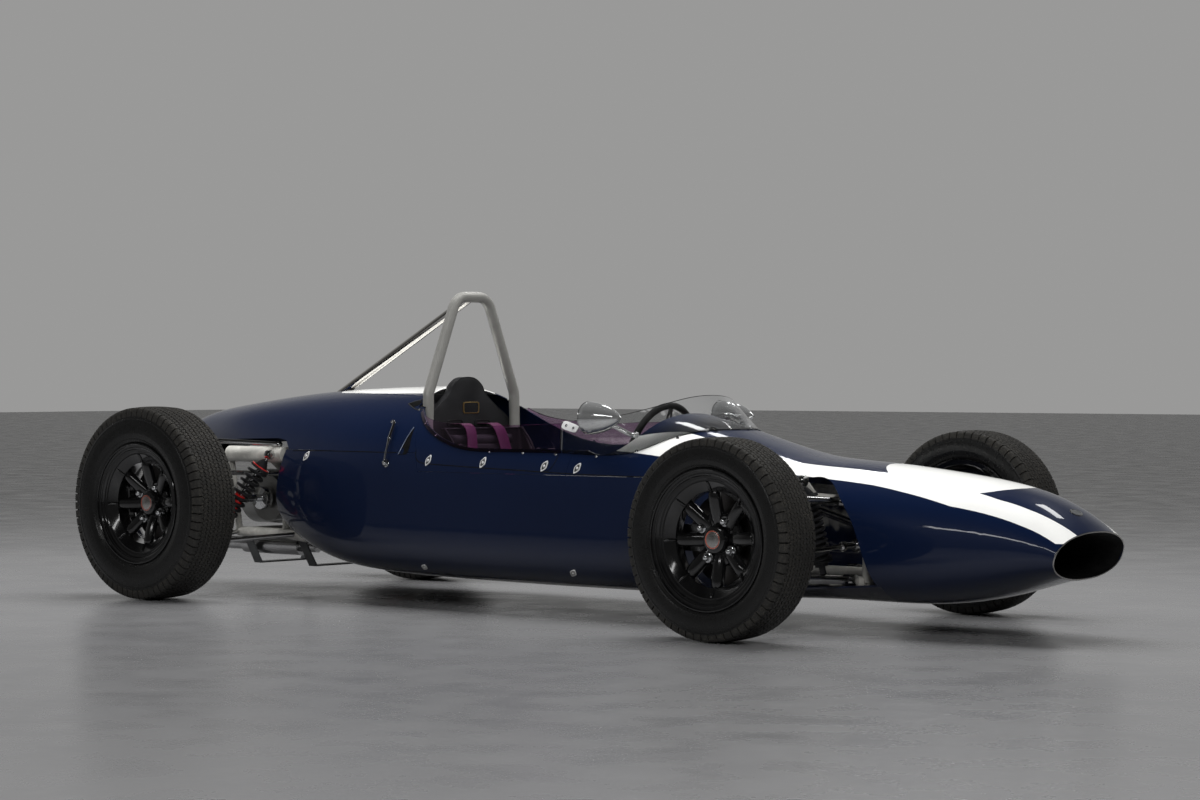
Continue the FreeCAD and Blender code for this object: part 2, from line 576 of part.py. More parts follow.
def roll_hoop(extra=0):
    """Bent tube: two feet, shoulder bends and a round top; extra makes it thicker for cutting a seat."""
    radius = size("hoop_radius")
    foot_y = size("hoop_foot_half_width")
    bend_y = size("hoop_bend_half_width")
    top_y = size("hoop_top_half_width")
    foot_z = RAIL_Z + RAIL + size("fit_gap")
    left = [(foot_y, foot_z), (bend_y, size("hoop_bend_height")), (0.9 * top_y, size("hoop_top"))]
    points = [Vector(HOOP_X, y, z) for y, z in left + [(-y, z) for y, z in reversed(left)]]
    return bent_rod(points, 3.5 * radius, radius + extra)


def hoop_brace(hoop):
    """Straight tube from the hoop's top down through the engine cover to the frame."""
    way = (BRACE_FOOT - BRACE_HEAD).normalize()
    end = BRACE_HEAD + way * ((REAR_FRAME_X - BRACE_HEAD.x) / way.x)
    tube = rod(BRACE_HEAD - way * size("hoop_radius"), end, size("brace_radius"))
    foot = rod(end - way * size("brace_radius"), Vector(REAR_FRAME_X, 0, HIGH_RAIL_Z), size("brace_radius"))
    return fused([tube.cut(hoop), foot])


# Wheels, tyres and hubs: drawn with the wheel's axis along Z, the outer side up

WHEEL_SETS = {
    "front": ("front_tyre_radius", "front_tyre_width", "front_rim_width", "front_track"),
    "rear": ("rear_tyre_radius", "rear_tyre_width", "rear_rim_width", "rear_track"),
}
HUB_FACE = size("hub_face_offset")
HUB_BACK = HUB_FACE - size("wheel_hub_thickness")
DISC_BACK = -size("disc_inset")
DISC_FRONT = DISC_BACK + size("disc_thickness")


def origin_plane(body, role):
    """One of a body's own base planes."""
    return next(plane for plane in body.Origin.OriginFeatures if plane.Role == role)


def new_body(label, placement):
    """Empty PartDesign body at its place in the car."""
    body = doc.addObject("PartDesign::Body", label)
    body.Label = label
    body.Placement = placement
    return body


def new_sketch(body, name, role):
    """Sketch on one of the body's base planes."""
    sketch = body.newObject("Sketcher::SketchObject", name)
    sketch.AttachmentSupport = [(origin_plane(body, role), "")]
    sketch.MapMode = "FlatFace"
    return sketch


def draw_outline(sketch, points):
    """Closed outline of straight lines, joined corner to corner."""
    corners = [Vector(u, v, 0) for u, v in points]
    first = sketch.GeometryCount
    for start, end in zip(corners, corners[1:] + corners[:1]):
        sketch.addGeometry(Part.LineSegment(start, end), False)
    count = len(corners)
    for step in range(count):
        following = first + (step + 1) % count
        sketch.addConstraint(Sketcher.Constraint("Coincident", first + step, 2, following, 1))


def draw_circle(sketch, centre, alias):
    """Circle whose radius follows one cell."""
    number = sketch.addGeometry(Part.Circle(Vector(*centre, 0), Vector(0, 0, 1), size(alias)), False)
    constraint = sketch.addConstraint(Sketcher.Constraint("Radius", number, size(alias)))
    sketch.setExpression(f"Constraints[{constraint}]", f"Sizes.{alias}")


def revolved(body, name, sketch):
    """Full turn of a sketch about the wheel's axis."""
    turn = body.newObject("PartDesign::Revolution", name)
    turn.Profile = (sketch, [""])
    turn.ReferenceAxis = (sketch, ["V_Axis"])
    turn.Angle = 360
    return turn


def repeated(body, name, original, axis, count_alias):
    """Copies of one feature round a sketch's axis, as many as a cell says."""
    pattern = body.newObject("PartDesign::PolarPattern", name)
    pattern.Originals = [original]
    pattern.Axis = axis
    pattern.Angle = 360
    pattern.setExpression("Occurrences", f"Sizes.{count_alias}")
    body.Tip = pattern
    doc.recompute()


def wheel_placement(end, side):
    """Place and turn of a wheel, its outer side away from the car."""
    radius, _, _, track = WHEEL_SETS[end]
    x = FRONT_AXLE_X if end == "front" else REAR_AXLE_X
    centre = Vector(x, side * size(track) / 2, size(radius))
    return Placement(centre, Rotation(Vector(1, 0, 0), -90 * side))


def tyre(end, side, name):
    """Tyre: beads on the rim, bulging walls and a crowned tread."""
    radius_alias, width_alias, rim_alias, _ = WHEEL_SETS[end]
    radius = size(radius_alias)
    half = size(width_alias) / 2
    bead = size("bead_radius") + size("fit_gap")
    bead_half = size(rim_alias) / 2 - size("flange_thickness") - size("fit_gap")
    flange = size("flange_radius")
    wall = radius - flange
    body = new_body(f"{end}_tyre_{name}", wheel_placement(end, side))
    sketch = new_sketch(body, f"{end}_tyre_{name}_profile", "XZ_Plane")
    upper = [(bead, bead_half), (flange + 0.02 * wall, bead_half), (flange + 0.12 * wall, 0.93 * half),
             (flange + 0.42 * wall, half), (radius - 0.22 * wall, 0.95 * half),
             (radius - 0.1 * wall, 0.86 * half), (radius - 0.03 * wall, 0.70 * half), (radius, 0.30 * half)]
    draw_outline(sketch, upper + [(r, -z) for r, z in reversed(upper)])
    body.Tip = revolved(body, f"{end}_tyre_{name}_turn", sketch)


def rim(end, side, name):
    """Spoked wheel: hub with boss and stud holes, tapered round spokes, stepped barrel and window ring."""
    _, _, rim_alias, _ = WHEEL_SETS[end]
    label = f"{end}_wheel_{name}"
    half = size(rim_alias) / 2
    flange = size("flange_radius")
    bead = size("bead_radius")
    well = bead - size("well_depth")
    wall = size("rim_wall")
    lip = size("flange_thickness")
    body = new_body(label, wheel_placement(end, side))

    hub_sketch = new_sketch(body, label + "_hub_profile", "XZ_Plane")
    bore = size("wheel_bore_radius")
    hub_radius = size("wheel_hub_radius")
    boss = size("wheel_boss_radius")
    boss_end = HUB_FACE + size("wheel_boss_height")
    draw_outline(hub_sketch, [(bore, HUB_BACK), (hub_radius, HUB_BACK),
                              (hub_radius, HUB_FACE - 0.3 * size("wheel_hub_thickness")),
                              (0.94 * hub_radius, HUB_FACE), (boss, HUB_FACE), (0.9 * boss, boss_end),
                              (bore, boss_end)])
    revolved(body, label + "_hub", hub_sketch)
    doc.recompute()

    spoke = body.newObject("PartDesign::AdditiveCone", label + "_spoke")
    spoke.setExpression("Radius1", "Sizes.spoke_root_radius")
    spoke.setExpression("Radius2", "Sizes.spoke_tip_radius")
    spoke_start = 0.85 * hub_radius
    spoke.Height = well - 0.4 * wall - spoke_start
    spoke.AttachmentSupport = [(origin_plane(body, "XY_Plane"), "")]
    spoke.MapMode = "FlatFace"
    spoke.AttachmentOffset = Placement(Vector(spoke_start, 0, (HUB_FACE + HUB_BACK) / 2),
                                       Rotation(Vector(0, 1, 0), 90))
    doc.recompute()
    repeated(body, label + "_spokes", spoke, (hub_sketch, ["V_Axis"]), "spoke_count")

    barrel_sketch = new_sketch(body, label + "_barrel_profile", "XZ_Plane")
    ring = size("window_ring_radius")
    ring_back = -size("window_ring_back")
    draw_outline(barrel_sketch, [
        (flange, half), (flange, half - lip), (bead, half - lip), (bead, half - 3.5 * lip),
        (well, half - 5 * lip), (well, -half + 3.4 * lip), (bead, -half + 2.4 * lip), (bead, -half + lip),
        (flange, -half + lip), (flange, -half), (bead - wall, -half), (bead - wall, -half + 2.2 * lip),
        (well - wall, -half + 3.4 * lip), (well - wall, ring_back), (ring, ring_back), (ring, -ring_back),
        (well - wall, -ring_back), (well - wall, half - 5.2 * lip), (bead - 1.6 * wall, half - 3.7 * lip),
        (bead - wall, half - 2 * lip), (bead - wall, half - 1.2 * lip), (flange - wall, half)])
    revolved(body, label + "_barrel", barrel_sketch)
    doc.recompute()

    hole_sketch = new_sketch(body, label + "_stud_hole_profile", "XY_Plane")
    draw_circle(hole_sketch, (size("stud_circle_radius"), 0), "stud_hole_radius")
    hole = body.newObject("PartDesign::Pocket", label + "_stud_hole")
    hole.Profile = (hole_sketch, [""])
    hole.Type = 1
    hole.Midplane = True
    doc.recompute()
    repeated(body, label + "_stud_holes", hole, (hub_sketch, ["V_Axis"]), "stud_count")


def drum(z_from, z_to, radius):
    """Round block on the wheel's axis between two levels."""
    return Part.makeCylinder(radius, z_to - z_from, Vector(0, 0, z_from))


def cone(z_from, height, start_radius, end_radius, at=Vector(0, 0, 0)):
    """Round block that tapers outwards along the wheel's axis, or beside it."""
    return Part.makeCone(start_radius, end_radius, height, at + Vector(0, 0, z_from))


def hub(end, side, name):
    """Hub with its brake disc, wheel studs, nuts and cap; at the rear with its half shaft."""
    gap = size("fit_gap")
    flange_back = HUB_BACK - size("hub_flange_thickness")
    bore = size("wheel_bore_radius") - gap
    cap_end = HUB_FACE + size("cap_height")
    shapes = [drum(flange_back, HUB_BACK - gap, 0.97 * size("wheel_hub_radius")),
              drum(DISC_BACK, flange_back, size("hub_radius")),
              drum(DISC_BACK, DISC_FRONT, size("disc_radius")),
              drum(HUB_BACK - gap, cap_end, bore), cone(cap_end, size("cap_bevel"), bore, 0.85 * bore)]
    for number in range(int(size("stud_count"))):
        angle = 2 * math.pi * number / size("stud_count")
        at = Vector(math.cos(angle), math.sin(angle), 0) * size("stud_circle_radius")
        nut_base = HUB_FACE + gap
        nut_top = nut_base + size("nut_height")
        stud = drum(HUB_BACK - gap, nut_top, size("stud_radius"))
        nut = drum(nut_base, nut_top, size("nut_radius"))
        shapes += [stud.translated(at), nut.translated(at),
                   cone(nut_top, size("nut_dome"), size("nut_radius"), size("stud_radius"), at)]
    if end == "rear":
        cup = size("drive_cup_radius")
        cup_length = size("drive_cup_length")
        inner = -size("rear_track") / 2 + size("gearbox_radius") + size("drive_cup_gap")
        joint = -size("kingpin_inset") - size("outer_joint_reach")
        shapes += [drum(inner, DISC_BACK, size("axle_radius")), drum(inner, inner + cup_length, cup),
                   drum(joint, joint + cup_length, cup)]
    shape = fused(shapes)
    if end == "front":
        shape = shape.cut(drum(DISC_BACK, HUB_FACE, size("axle_radius") + gap))
    feature(f"{end}_hub_{name}", shape, wheel_placement(end, side))


# Front knuckles with their brake calipers, in the car's own directions, left side
FRONT_Z = size("front_tyre_radius")
REAR_Z = size("rear_tyre_radius")
FRONT_WHEEL_Y = size("front_track") / 2
REAR_WHEEL_Y = size("rear_track") / 2
KINGPIN_Y = FRONT_WHEEL_Y - size("kingpin_inset")
UPPER_JOINT = Vector(FRONT_AXLE_X, KINGPIN_Y - size("kingpin_lean"), FRONT_Z + size("joint_spread"))
LOWER_JOINT = Vector(FRONT_AXLE_X, KINGPIN_Y, FRONT_Z - size("joint_spread"))
KINGPIN_WAY = (UPPER_JOINT - LOWER_JOINT).normalize()
UPRIGHT_Y = REAR_WHEEL_Y - size("kingpin_inset")
ROD_EYE = Vector(FRONT_AXLE_X + size("steering_arm"), KINGPIN_Y - size("rod_eye_inset"),
                 FRONT_Z - size("steering_drop"))


def caliper(axle_x, wheel_y, wheel_z):
    """Caliper behind the axle, straddling the disc with a clearance on each side."""
    gap = size("disc_clearance")
    reach = size("disc_radius")
    disc_inner = wheel_y + DISC_BACK - gap
    disc_outer = wheel_y + DISC_FRONT + gap
    tall = size("caliper_height") / 2
    block = box(axle_x - reach - size("caliper_overhang"), axle_x - 0.62 * reach,
                disc_inner - size("caliper_inner_cheek"), disc_outer + size("caliper_outer_cheek"),
                wheel_z - tall, wheel_z + tall)
    slot = rod(Vector(axle_x, disc_inner, wheel_z), Vector(axle_x, disc_outer, wheel_z), reach + 2 * gap)
    return block.cut(slot)


def caliper_lug(axle_x, root_y, wheel_y, wheel_z):
    """Bar from an upright back to its caliper, kept clear of the disc."""
    half = size("lug_half_height")
    return box(axle_x - 0.78 * size("disc_radius"), axle_x, root_y - half,
               wheel_y + DISC_BACK - 2 * size("disc_clearance"), wheel_z - half, wheel_z + half)


def front_knuckle():
    """Forged upright with ball sockets, stub axle, steering arm and caliper."""
    neck = size("knuckle_neck")
    root = Vector(FRONT_AXLE_X, KINGPIN_Y - size("rod_eye_inset"), FRONT_Z)
    boss_end = Vector(FRONT_AXLE_X, FRONT_WHEEL_Y + DISC_BACK - size("disc_clearance"), FRONT_Z)
    stub_tip = Vector(FRONT_AXLE_X, FRONT_WHEEL_Y + HUB_FACE - size("running_gap"), FRONT_Z)
    low = LOWER_JOINT + KINGPIN_WAY * neck
    high = UPPER_JOINT - KINGPIN_WAY * neck
    socket = Part.makeCone(size("socket_radius"), size("post_radius"), size("post_radius"), low, KINGPIN_WAY)
    bend = Vector(FRONT_AXLE_X + 0.6 * size("steering_arm"), KINGPIN_Y - size("lug_half_height"),
                  ROD_EYE.z + size("steering_arm_rise"))
    start = root - Vector(0, 0, 0.3 * size("steering_drop"))
    arm = bent_rod([start, bend, ROD_EYE], size("steering_arm_bend"), size("link_radius"))
    half_eye = Vector(0, 0, size("rod_eye_height") / 2)
    return fused([rod(low, high, size("post_radius")), socket, rod(root, boss_end, size("axle_boss_radius")),
                  rod(root, stub_tip, size("axle_radius")), arm,
                  rod(ROD_EYE - half_eye, ROD_EYE + half_eye, size("ball_radius")),
                  caliper(FRONT_AXLE_X, FRONT_WHEEL_Y, FRONT_Z),
                  caliper_lug(FRONT_AXLE_X, KINGPIN_Y, FRONT_WHEEL_Y, FRONT_Z)])


UPPER_LINK_Z = size("arch_height") + size("upper_link_gap")
LOWER_LINK_Z = FLOOR_Z + size("lower_link_rise")


def rear_upright():
    """Cast rear upright: a tall web round the bearing housing, with the caliper."""
    half_x = size("upright_half_width")
    half_y = size("upright_half_depth")
    end = size("upright_end")
    bearing_start = Vector(REAR_AXLE_X, UPRIGHT_Y - half_y - size("bearing_overhang"), REAR_Z)
    bearing_end = Vector(REAR_AXLE_X, REAR_WHEEL_Y + DISC_BACK - 2 * size("disc_clearance"), REAR_Z)
    web = box(REAR_AXLE_X - half_x, REAR_AXLE_X + half_x, UPRIGHT_Y - half_y, UPRIGHT_Y + half_y,
              LOWER_LINK_Z - end, UPPER_LINK_Z + end)
    shape = fused([rod(bearing_start, bearing_end, size("bearing_radius")), web,
                   caliper_lug(REAR_AXLE_X, UPRIGHT_Y, REAR_WHEEL_Y, REAR_Z),
                   caliper(REAR_AXLE_X, REAR_WHEEL_Y, REAR_Z)])
    bore = rod(Vector(REAR_AXLE_X, 0, REAR_Z), Vector(REAR_AXLE_X, 2 * REAR_WHEEL_Y, REAR_Z),
               size("axle_radius") + size("fit_gap"))
    return shape.cut(bore)


def wishbone(joint, pivots, radius):
    """Two tubes from an outer joint to two inner pivot bushes, on the left side."""
    shapes = [ball(joint, radius * 1.5)]
    half = Vector(1.6 * radius, 0, 0)
    for pivot in pivots:
        shapes += [rod(joint, pivot, radius), rod(pivot - half, pivot + half, radius * 1.5)]
    return seated(fused(shapes))


def beside_rail(number, x, radius):
    """Place of a bush of one radius against the outer side of a nose rail, at one place along it."""
    corners, _ = rail_lines()[number]
    nose, waist = Vector(*corners[0]), Vector(*corners[1])
    point = nose + (waist - nose) * ((nose.x - x) / (nose.x - waist.x))
    return point + Vector(0, RAIL + radius, 0)


def coilover(bottom, top):
    """Damper between two eyes, with its coil spring turned as one ribbed sleeve between two seats."""
    way = (top - bottom).normalize()
    side = way.cross(Vector(1, 0, 0)).normalize()
    length = (top - bottom).Length
    damper = size("damper_radius")
    seat_radius = size("spring_seat_radius")
    thick = size("spring_seat_thickness")
    low = 0.16 * length
    high = 0.86 * length
    turns = int(size("spring_turns"))
    valley = size("spring_radius") - size("spring_wire")
    crest = size("spring_radius") + size("spring_wire")
    pitch = (high - low - 2 * thick) / turns
    profile = [(0, low - thick), (damper, low - thick), (damper, low), (seat_radius, low),
               (seat_radius, low + thick)]
    for turn in range(turns):
        spring_start = low + thick + turn * pitch
        profile += [(valley, spring_start), (crest, spring_start + 0.5 * pitch)]
    profile += [(valley, high - thick), (seat_radius, high - thick), (seat_radius, high), (damper, high),
                (damper, high + thick), (0, high + thick)]
    corners = [bottom + side * r + way * h for r, h in profile]
    sleeve = Part.Face(Part.makePolygon(corners + corners[:1])).revolve(bottom, way, 360)
    eye = size("coilover_eye_radius")
    half_eye = Vector(0.75 * eye, 0, 0)
    eyes = [rod(point - half_eye, point + half_eye, eye) for point in (bottom, top)]
    return fused([sleeve, rod(bottom, top, 0.5 * damper)] + eyes)


def front_coilover():
    """Spring unit from the lower rail up to the frame's front tower."""
    eye = size("coilover_eye_radius") + size("fit_gap")
    bottom = beside_rail(0, TOWER_X + 3 * eye, eye) + Vector(0, 0, 0.6 * eye)
    start, tower_end = [Vector(*point) for point in FRONT_TOWER]
    top = tower_end + (tower_end - start).normalize() * eye
    return coilover(bottom, top)


def rear_coilover():
    """Spring unit from the lower rear link up to the side of the high rail."""
    eye = size("coilover_eye_radius") + size("fit_gap")
    outer, inner = lower_rear_ends()
    rise = Vector(0, 0, size("link_radius") + eye)
    bottom = outer + (inner - outer) * size("spring_foot_share") + rise
    top = Vector(HIGH_RAIL_FRONT_X - 2.2 * eye, HIGH_RAIL_Y + size("cross_tube_radius") + eye, HIGH_RAIL_Z)
    return coilover(bottom, top)


def rear_link_start(z):
    """Centre of a rear link's ball against the inner face of the left upright, at one height."""
    face = UPRIGHT_Y - size("upright_half_depth") - size("fit_gap")
    return Vector(REAR_AXLE_X, face - 1.4 * size("link_radius"), z)


def lower_rear_ends():
    """Outer and inner end of the front tube of the left lower rear wishbone."""
    return rear_link_start(LOWER_LINK_Z), Vector(REAR_FRAME_X + 4 * RAIL, REAR_FRAME_Y, REAR_FLOOR_Z)


def rear_link_set():
    """Upper link, radius rod and lower wishbone of the left rear wheel."""
    radius = size("link_radius")

    def link(z, *inner_ends):
        """Ball at the upright with a tube to each inner end."""
        start = rear_link_start(z)
        return [ball(start, 1.4 * radius)] + [rod(start, end, radius) for end in inner_ends]

    _, lower_front = lower_rear_ends()
    lower_back = Vector(REAR_END_X, REAR_END_Y, REAR_FLOOR_Z)
    bracket_x = HIGH_RAIL_FRONT_X - 2 * RAIL
    upper_end = Vector(bracket_x, HIGH_RAIL_Y, HIGH_RAIL_Z + size("cross_tube_radius") + radius)
    upper_foot = rod(upper_end, Vector(bracket_x, HIGH_RAIL_Y, HIGH_RAIL_Z), radius)
    upper = link(UPPER_LINK_Z, upper_end) + [ball(upper_end, 1.4 * radius), upper_foot]
    radius_rod = link(RAIL_Z + 0.5 * RAIL, Vector(REAR_FRAME_X + RAIL, REAR_FRAME_Y, RAIL_Z))
    lower = link(LOWER_LINK_Z, lower_front, lower_back)
    return Part.makeCompound([seated(fused(shapes)) for shapes in (upper, radius_rod, lower)])


def radiator():
    """Flat radiator block behind the inlet, carried on the front bulkhead."""
    depth = size("radiator_depth")
    half = size("radiator_half_width")
    x = FRONT_BULKHEAD_X + RAIL + 1.5 * depth
    low = FLOOR_Z + 0.6 * RAIL
    core = box(x, x + depth, -half, half, low, low + size("radiator_height"))
    arm = box(FRONT_BULKHEAD_X, x, 0.3 * half, 0.4 * half, low, low + RAIL)
    return seated(fused([core, arm, mirrored(arm)]))


def latch():
    """Hook latch that holds the engine cover down, lying on the left side panel and the cover."""
    x = cover_seam_x(SEAM_Z) - size("latch_setback")
    radius = size("latch_radius")
    foot = radius + size("fit_gap")
    rise = size("latch_height")
    points = []
    for share, reach in ((-0.3, foot), (-0.2, 2 * radius), (0.25, 2.2 * radius), (0.6, 2 * radius),
                         (0.7, foot)):
        z = COVER_SEAM_Z + share * rise
        points.append(stood_off(outer_body, Vector(x, skin_y(x, z) + radius, z), reach)[0])
    shapes = [ball(points[0], radius)]
    for start, end in zip(points, points[1:]):
        shapes += [rod(start, end, radius), ball(end, radius)]
    return fused(shapes)


# Steering: rack, track rods, column and wheel

WHEEL_CENTRE = Vector(FRONT_AXLE_X - size("steering_wheel_setback"), 0, size("steering_wheel_height"))
RACK = Vector(ROD_EYE.x, 0, ROD_EYE.z - size("rack_drop"))
PINION = RACK + Vector(0, 0, size("rack_radius") + size("column_radius") + size("pinion_gap"))
COLUMN_WAY = (PINION - WHEEL_CENTRE).normalize()
TRACK_BALL_Z = ROD_EYE.z - size("rod_eye_height") / 2 - size("rod_eye_gap") - size("ball_radius")


def rack_housing():
    """Tube that the rack slides in, with the pinion's tower and two clamp feet on the front frame."""
    gap = size("fit_gap")
    reach = Vector(0, size("rack_half_length") - size("rack_overhang"), 0)
    half_width = size("clamp_half_width")
    half_height = size("clamp_half_height")
    tower_top = PINION - COLUMN_WAY * size("column_entry")
    shapes = [rod(RACK - reach, RACK + reach, size("rack_housing_radius")),
              rod(RACK, tower_top, size("column_radius") + size("tower_wall"))]
    for side in (1, -1):
        y = side * (reach.y - size("clamp_inset"))
        shapes += [box(RACK.x, FRONT_BULKHEAD_X, y - half_width, y + half_width,
                       RACK.z - half_height, RACK.z + half_height),
                   box(FRONT_BULKHEAD_X - half_height, FRONT_BULKHEAD_X + half_height,
                       y - half_width, y + half_width, FLOOR_Z, RACK.z + half_height)]
    bore = rod(RACK - reach * 2, RACK + reach * 2, size("rack_radius") + gap)
    column = rod(WHEEL_CENTRE, PINION + COLUMN_WAY * size("pinion_gap"), size("column_radius") + gap)
    return seated(fused(shapes).cut(bore).cut(column))


def rack():
    """Rack bar with a track rod on each end, reaching under the steering arms' eyes."""
    reach = Vector(0, size("rack_half_length"), 0)
    shapes = [rod(RACK - reach, RACK + reach, size("rack_radius"))]
    for side in (1, -1):
        end = RACK + reach * side
        eye = Vector(ROD_EYE.x, side * ROD_EYE.y, TRACK_BALL_Z)
        shapes += [ball(end, size("rack_ball_radius")), rod(end, eye, size("track_rod_radius")),
                   ball(eye, size("ball_radius"))]
    return fused(shapes)


def steering_column():
    """Column from the wheel to the pinion."""
    return rod(WHEEL_CENTRE, PINION - COLUMN_WAY * size("column_end_gap"), size("column_radius"))


def steering_wheel():
    """Leather rim on three flat spokes round a small boss."""
    ring_radius = size("steering_wheel_radius") - size("grip_radius")
    boss_radius = size("steering_boss_radius")
    body = new_body("steering_wheel", Placement(WHEEL_CENTRE, Rotation(Vector(0, 0, 1), -COLUMN_WAY)))
    rim_sketch = new_sketch(body, "steering_rim_profile", "XZ_Plane")
    draw_circle(rim_sketch, (ring_radius, 0.82 * boss_radius), "grip_radius")
    revolved(body, "steering_rim", rim_sketch)
    doc.recompute()
    plate = new_sketch(body, "steering_spoke_plan", "XY_Plane")
    half = size("steering_spoke_width") / 2
    draw_outline(plate, [(0, -half), (ring_radius, -0.7 * half), (ring_radius, 0.7 * half), (0, half)])
    plate.AttachmentOffset = Placement(Vector(0, 0, 0.7 * boss_radius), Rotation())
    spoke = body.newObject("PartDesign::Pad", "steering_spoke")
    spoke.Profile = (plate, [""])
    spoke.setExpression("Length", "Sizes.steering_spoke_thickness")
    doc.recompute()
    repeated(body, "steering_spokes", spoke, (plate, ["N_Axis"]), "steering_spoke_count")
    boss_sketch = new_sketch(body, "steering_boss_profile", "XZ_Plane")
    bore = size("column_radius") + size("fit_gap")
    sleeve = bore + size("sleeve_wall")
    draw_outline(boss_sketch, [
        (0, boss_radius), (0.76 * boss_radius, boss_radius), (boss_radius, 0.82 * boss_radius),
        (boss_radius, 0.65 * boss_radius), (sleeve, 0.4 * boss_radius), (sleeve, -0.6 * boss_radius),
        (bore, -0.6 * boss_radius), (bore, size("fit_gap")), (0, size("fit_gap"))])
    body.Tip = revolved(body, "steering_boss", boss_sketch)


# Driver's place

SEAT_BACK_FACE_X = HOOP_X + size("hoop_radius") + size("seat_gap")
SEAT_FLOOR_Z = FLOOR_Z + 0.9 * size("brace_tube_radius")
# Seat in side view, as shares of its length ahead of its back and of its height above its floor
SEAT_LINE_SHARES = [(1.00, 0.113), (0.68, 0.027), (0.32, 0.00), (0.117, 0.136), (0.00, 0.59), (-0.013, 1.00)]
SEAT_WING_SHARES = [(0.915, 0.063), (0.128, 0.159), (0.0085, 0.544), (0.004, 0.955), (0.128, 0.864),
                    (0.234, 0.43), (0.532, 0.295), (0.872, 0.204)]
# Right half of the head panel's and the dashboard's outline, as shares of half width and height
HEAD_SHARES = [(1.00, 0.00), (1.00, 0.284), (0.72, 0.49), (0.42, 0.696), (0.26, 0.928), (0.00, 1.00)]
DASH_SHARES = [(1.00, 0.00), (1.00, 0.207), (0.80, 0.585), (0.40, 0.915), (0.00, 1.00)]


def seat():
    """Moulded seat: floor and back bent in one sheet, with raised sides."""
    half = size("seat_half_width")
    thick = size("seat_thickness")
    tall = size("cockpit_sill_height") + size("seat_top_rise") - SEAT_FLOOR_Z

    def placed(shares):
        """Seat shares as (x, z) points."""
        return [(SEAT_BACK_FACE_X + a * size("seat_length"), SEAT_FLOOR_Z + b * tall) for a, b in shares]

    line = placed(SEAT_LINE_SHARES)
    outer = smooth_edge([Vector(x, -half, z) for x, z in line])
    inside = [Vector(x + 0.8 * thick, -half, z + thick) for x, z in line[:-1]]
    inner = smooth_edge(inside + [Vector(line[-1][0] + 0.8 * thick, -half, line[-1][1])])
    start = Part.makeLine(outer.StartPoint, inner.StartPoint)
    end = Part.makeLine(outer.EndPoint, inner.EndPoint)
    outline = Part.Wire(Part.sortEdges([outer.toShape(), inner.toShape(), start, end])[0])
    pan = Part.Face(outline).extrude(Vector(0, 2 * half, 0))
    wing = placed(SEAT_WING_SHARES)
    sides = [side_prism(wing, -half, -half + thick), side_prism(wing, half - thick, half)]
    return seated(fused([pan] + sides))


def upright_plate(x, half, low, tall, shares, thickness):
    """Flat plate across the car with a smooth outline over a straight foot."""
    right = [(a * half, low + b * tall) for a, b in shares]
    outline = right + [(-y, z) for y, z in reversed(right[:-1])]
    curve = smooth_edge([Vector(x, y, z) for y, z in outline]).toShape()
    foot = Part.makeLine(Vector(x, -half, low), Vector(x, half, low))
    return Part.Face(Part.Wire([curve, foot])).extrude(Vector(thickness, 0, 0))


def headrest_panel():
    """Black back panel behind the driver with a domed head hump."""
    low = size("headrest_foot_height")
    x = HOOP_X - size("hoop_radius") - size("headrest_thickness") - size("fit_gap")
    return upright_plate(x, 1.08 * size("seat_half_width"), low, size("headrest_height") - low, HEAD_SHARES,
                         size("headrest_thickness"))


def dashboard():
    """Instrument panel hung below the scuttle on two feet, with the column's hole."""
    half = 0.86 * FRAME_Y
    low = RAIL_Z + RAIL + size("dash_gap")
    thin = size("dash_thickness")
    foot_half = size("brace_tube_radius")
    shapes = [upright_plate(DASH_X, half, low, size("dash_height"), DASH_SHARES, thin)]
    for side in (1, -1):
        y = side * 0.9 * half
        shapes.append(box(DASH_X, DASH_X + thin, y - foot_half, y + foot_half, RAIL_Z, low))
    hole = rod(WHEEL_CENTRE, PINION, size("column_radius") + size("running_gap"))
    return seated(fused(shapes).cut(hole))


def mirror(screen):
    """Bullet mirror: a turned shell on a short curved stalk from the screen's side."""
    radius = size("mirror_radius")
    length = size("mirror_length")
    glass_x = FRONT_AXLE_X - size("mirror_setback")
    glass = Vector(glass_x, size("mirror_half_width"), size("mirror_height"))
    line = [Vector(0, 0, 0), Vector(0, 0, 0.96 * radius), Vector(0.12 * length, 0, radius),
            Vector(0.5 * length, 0, 0.8 * radius), Vector(0.85 * length, 0, 0.36 * radius),
            Vector(length, 0, 0)]
    edges = [Part.makeLine(line[0], line[1]), Part.makeLine(line[1], line[2]),
             smooth_edge(line[2:]).toShape(), Part.makeLine(line[5], line[0])]
    bullet = Part.Face(Part.Wire(edges)).revolve(Vector(0, 0, 0), Vector(1, 0, 0), 360)
    bullet.translate(glass)
    start = glass + Vector(0.7 * length, 0, -0.4 * radius)
    stalk_radius = size("stalk_radius")
    aim = glass + Vector(1.1 * length, -radius, -radius)
    foot_radius = 1.35 * stalk_radius
    foot, way = stood_off(screen, aim, foot_radius + size("fit_gap"))
    bend = foot + way * (4 * stalk_radius) - Vector(0, 0, 2 * stalk_radius)
    stalk = bent_rod([start, bend, foot], 3 * stalk_radius, stalk_radius)
    return fused([bullet, stalk, ball(foot, foot_radius)])


# Power unit and tail

ENGINE_FRONT_X = SEAT_BACK_X - size("engine_gap")
GEARBOX_FRONT_X = ENGINE_FRONT_X - size("engine_length") - size("fit_gap")


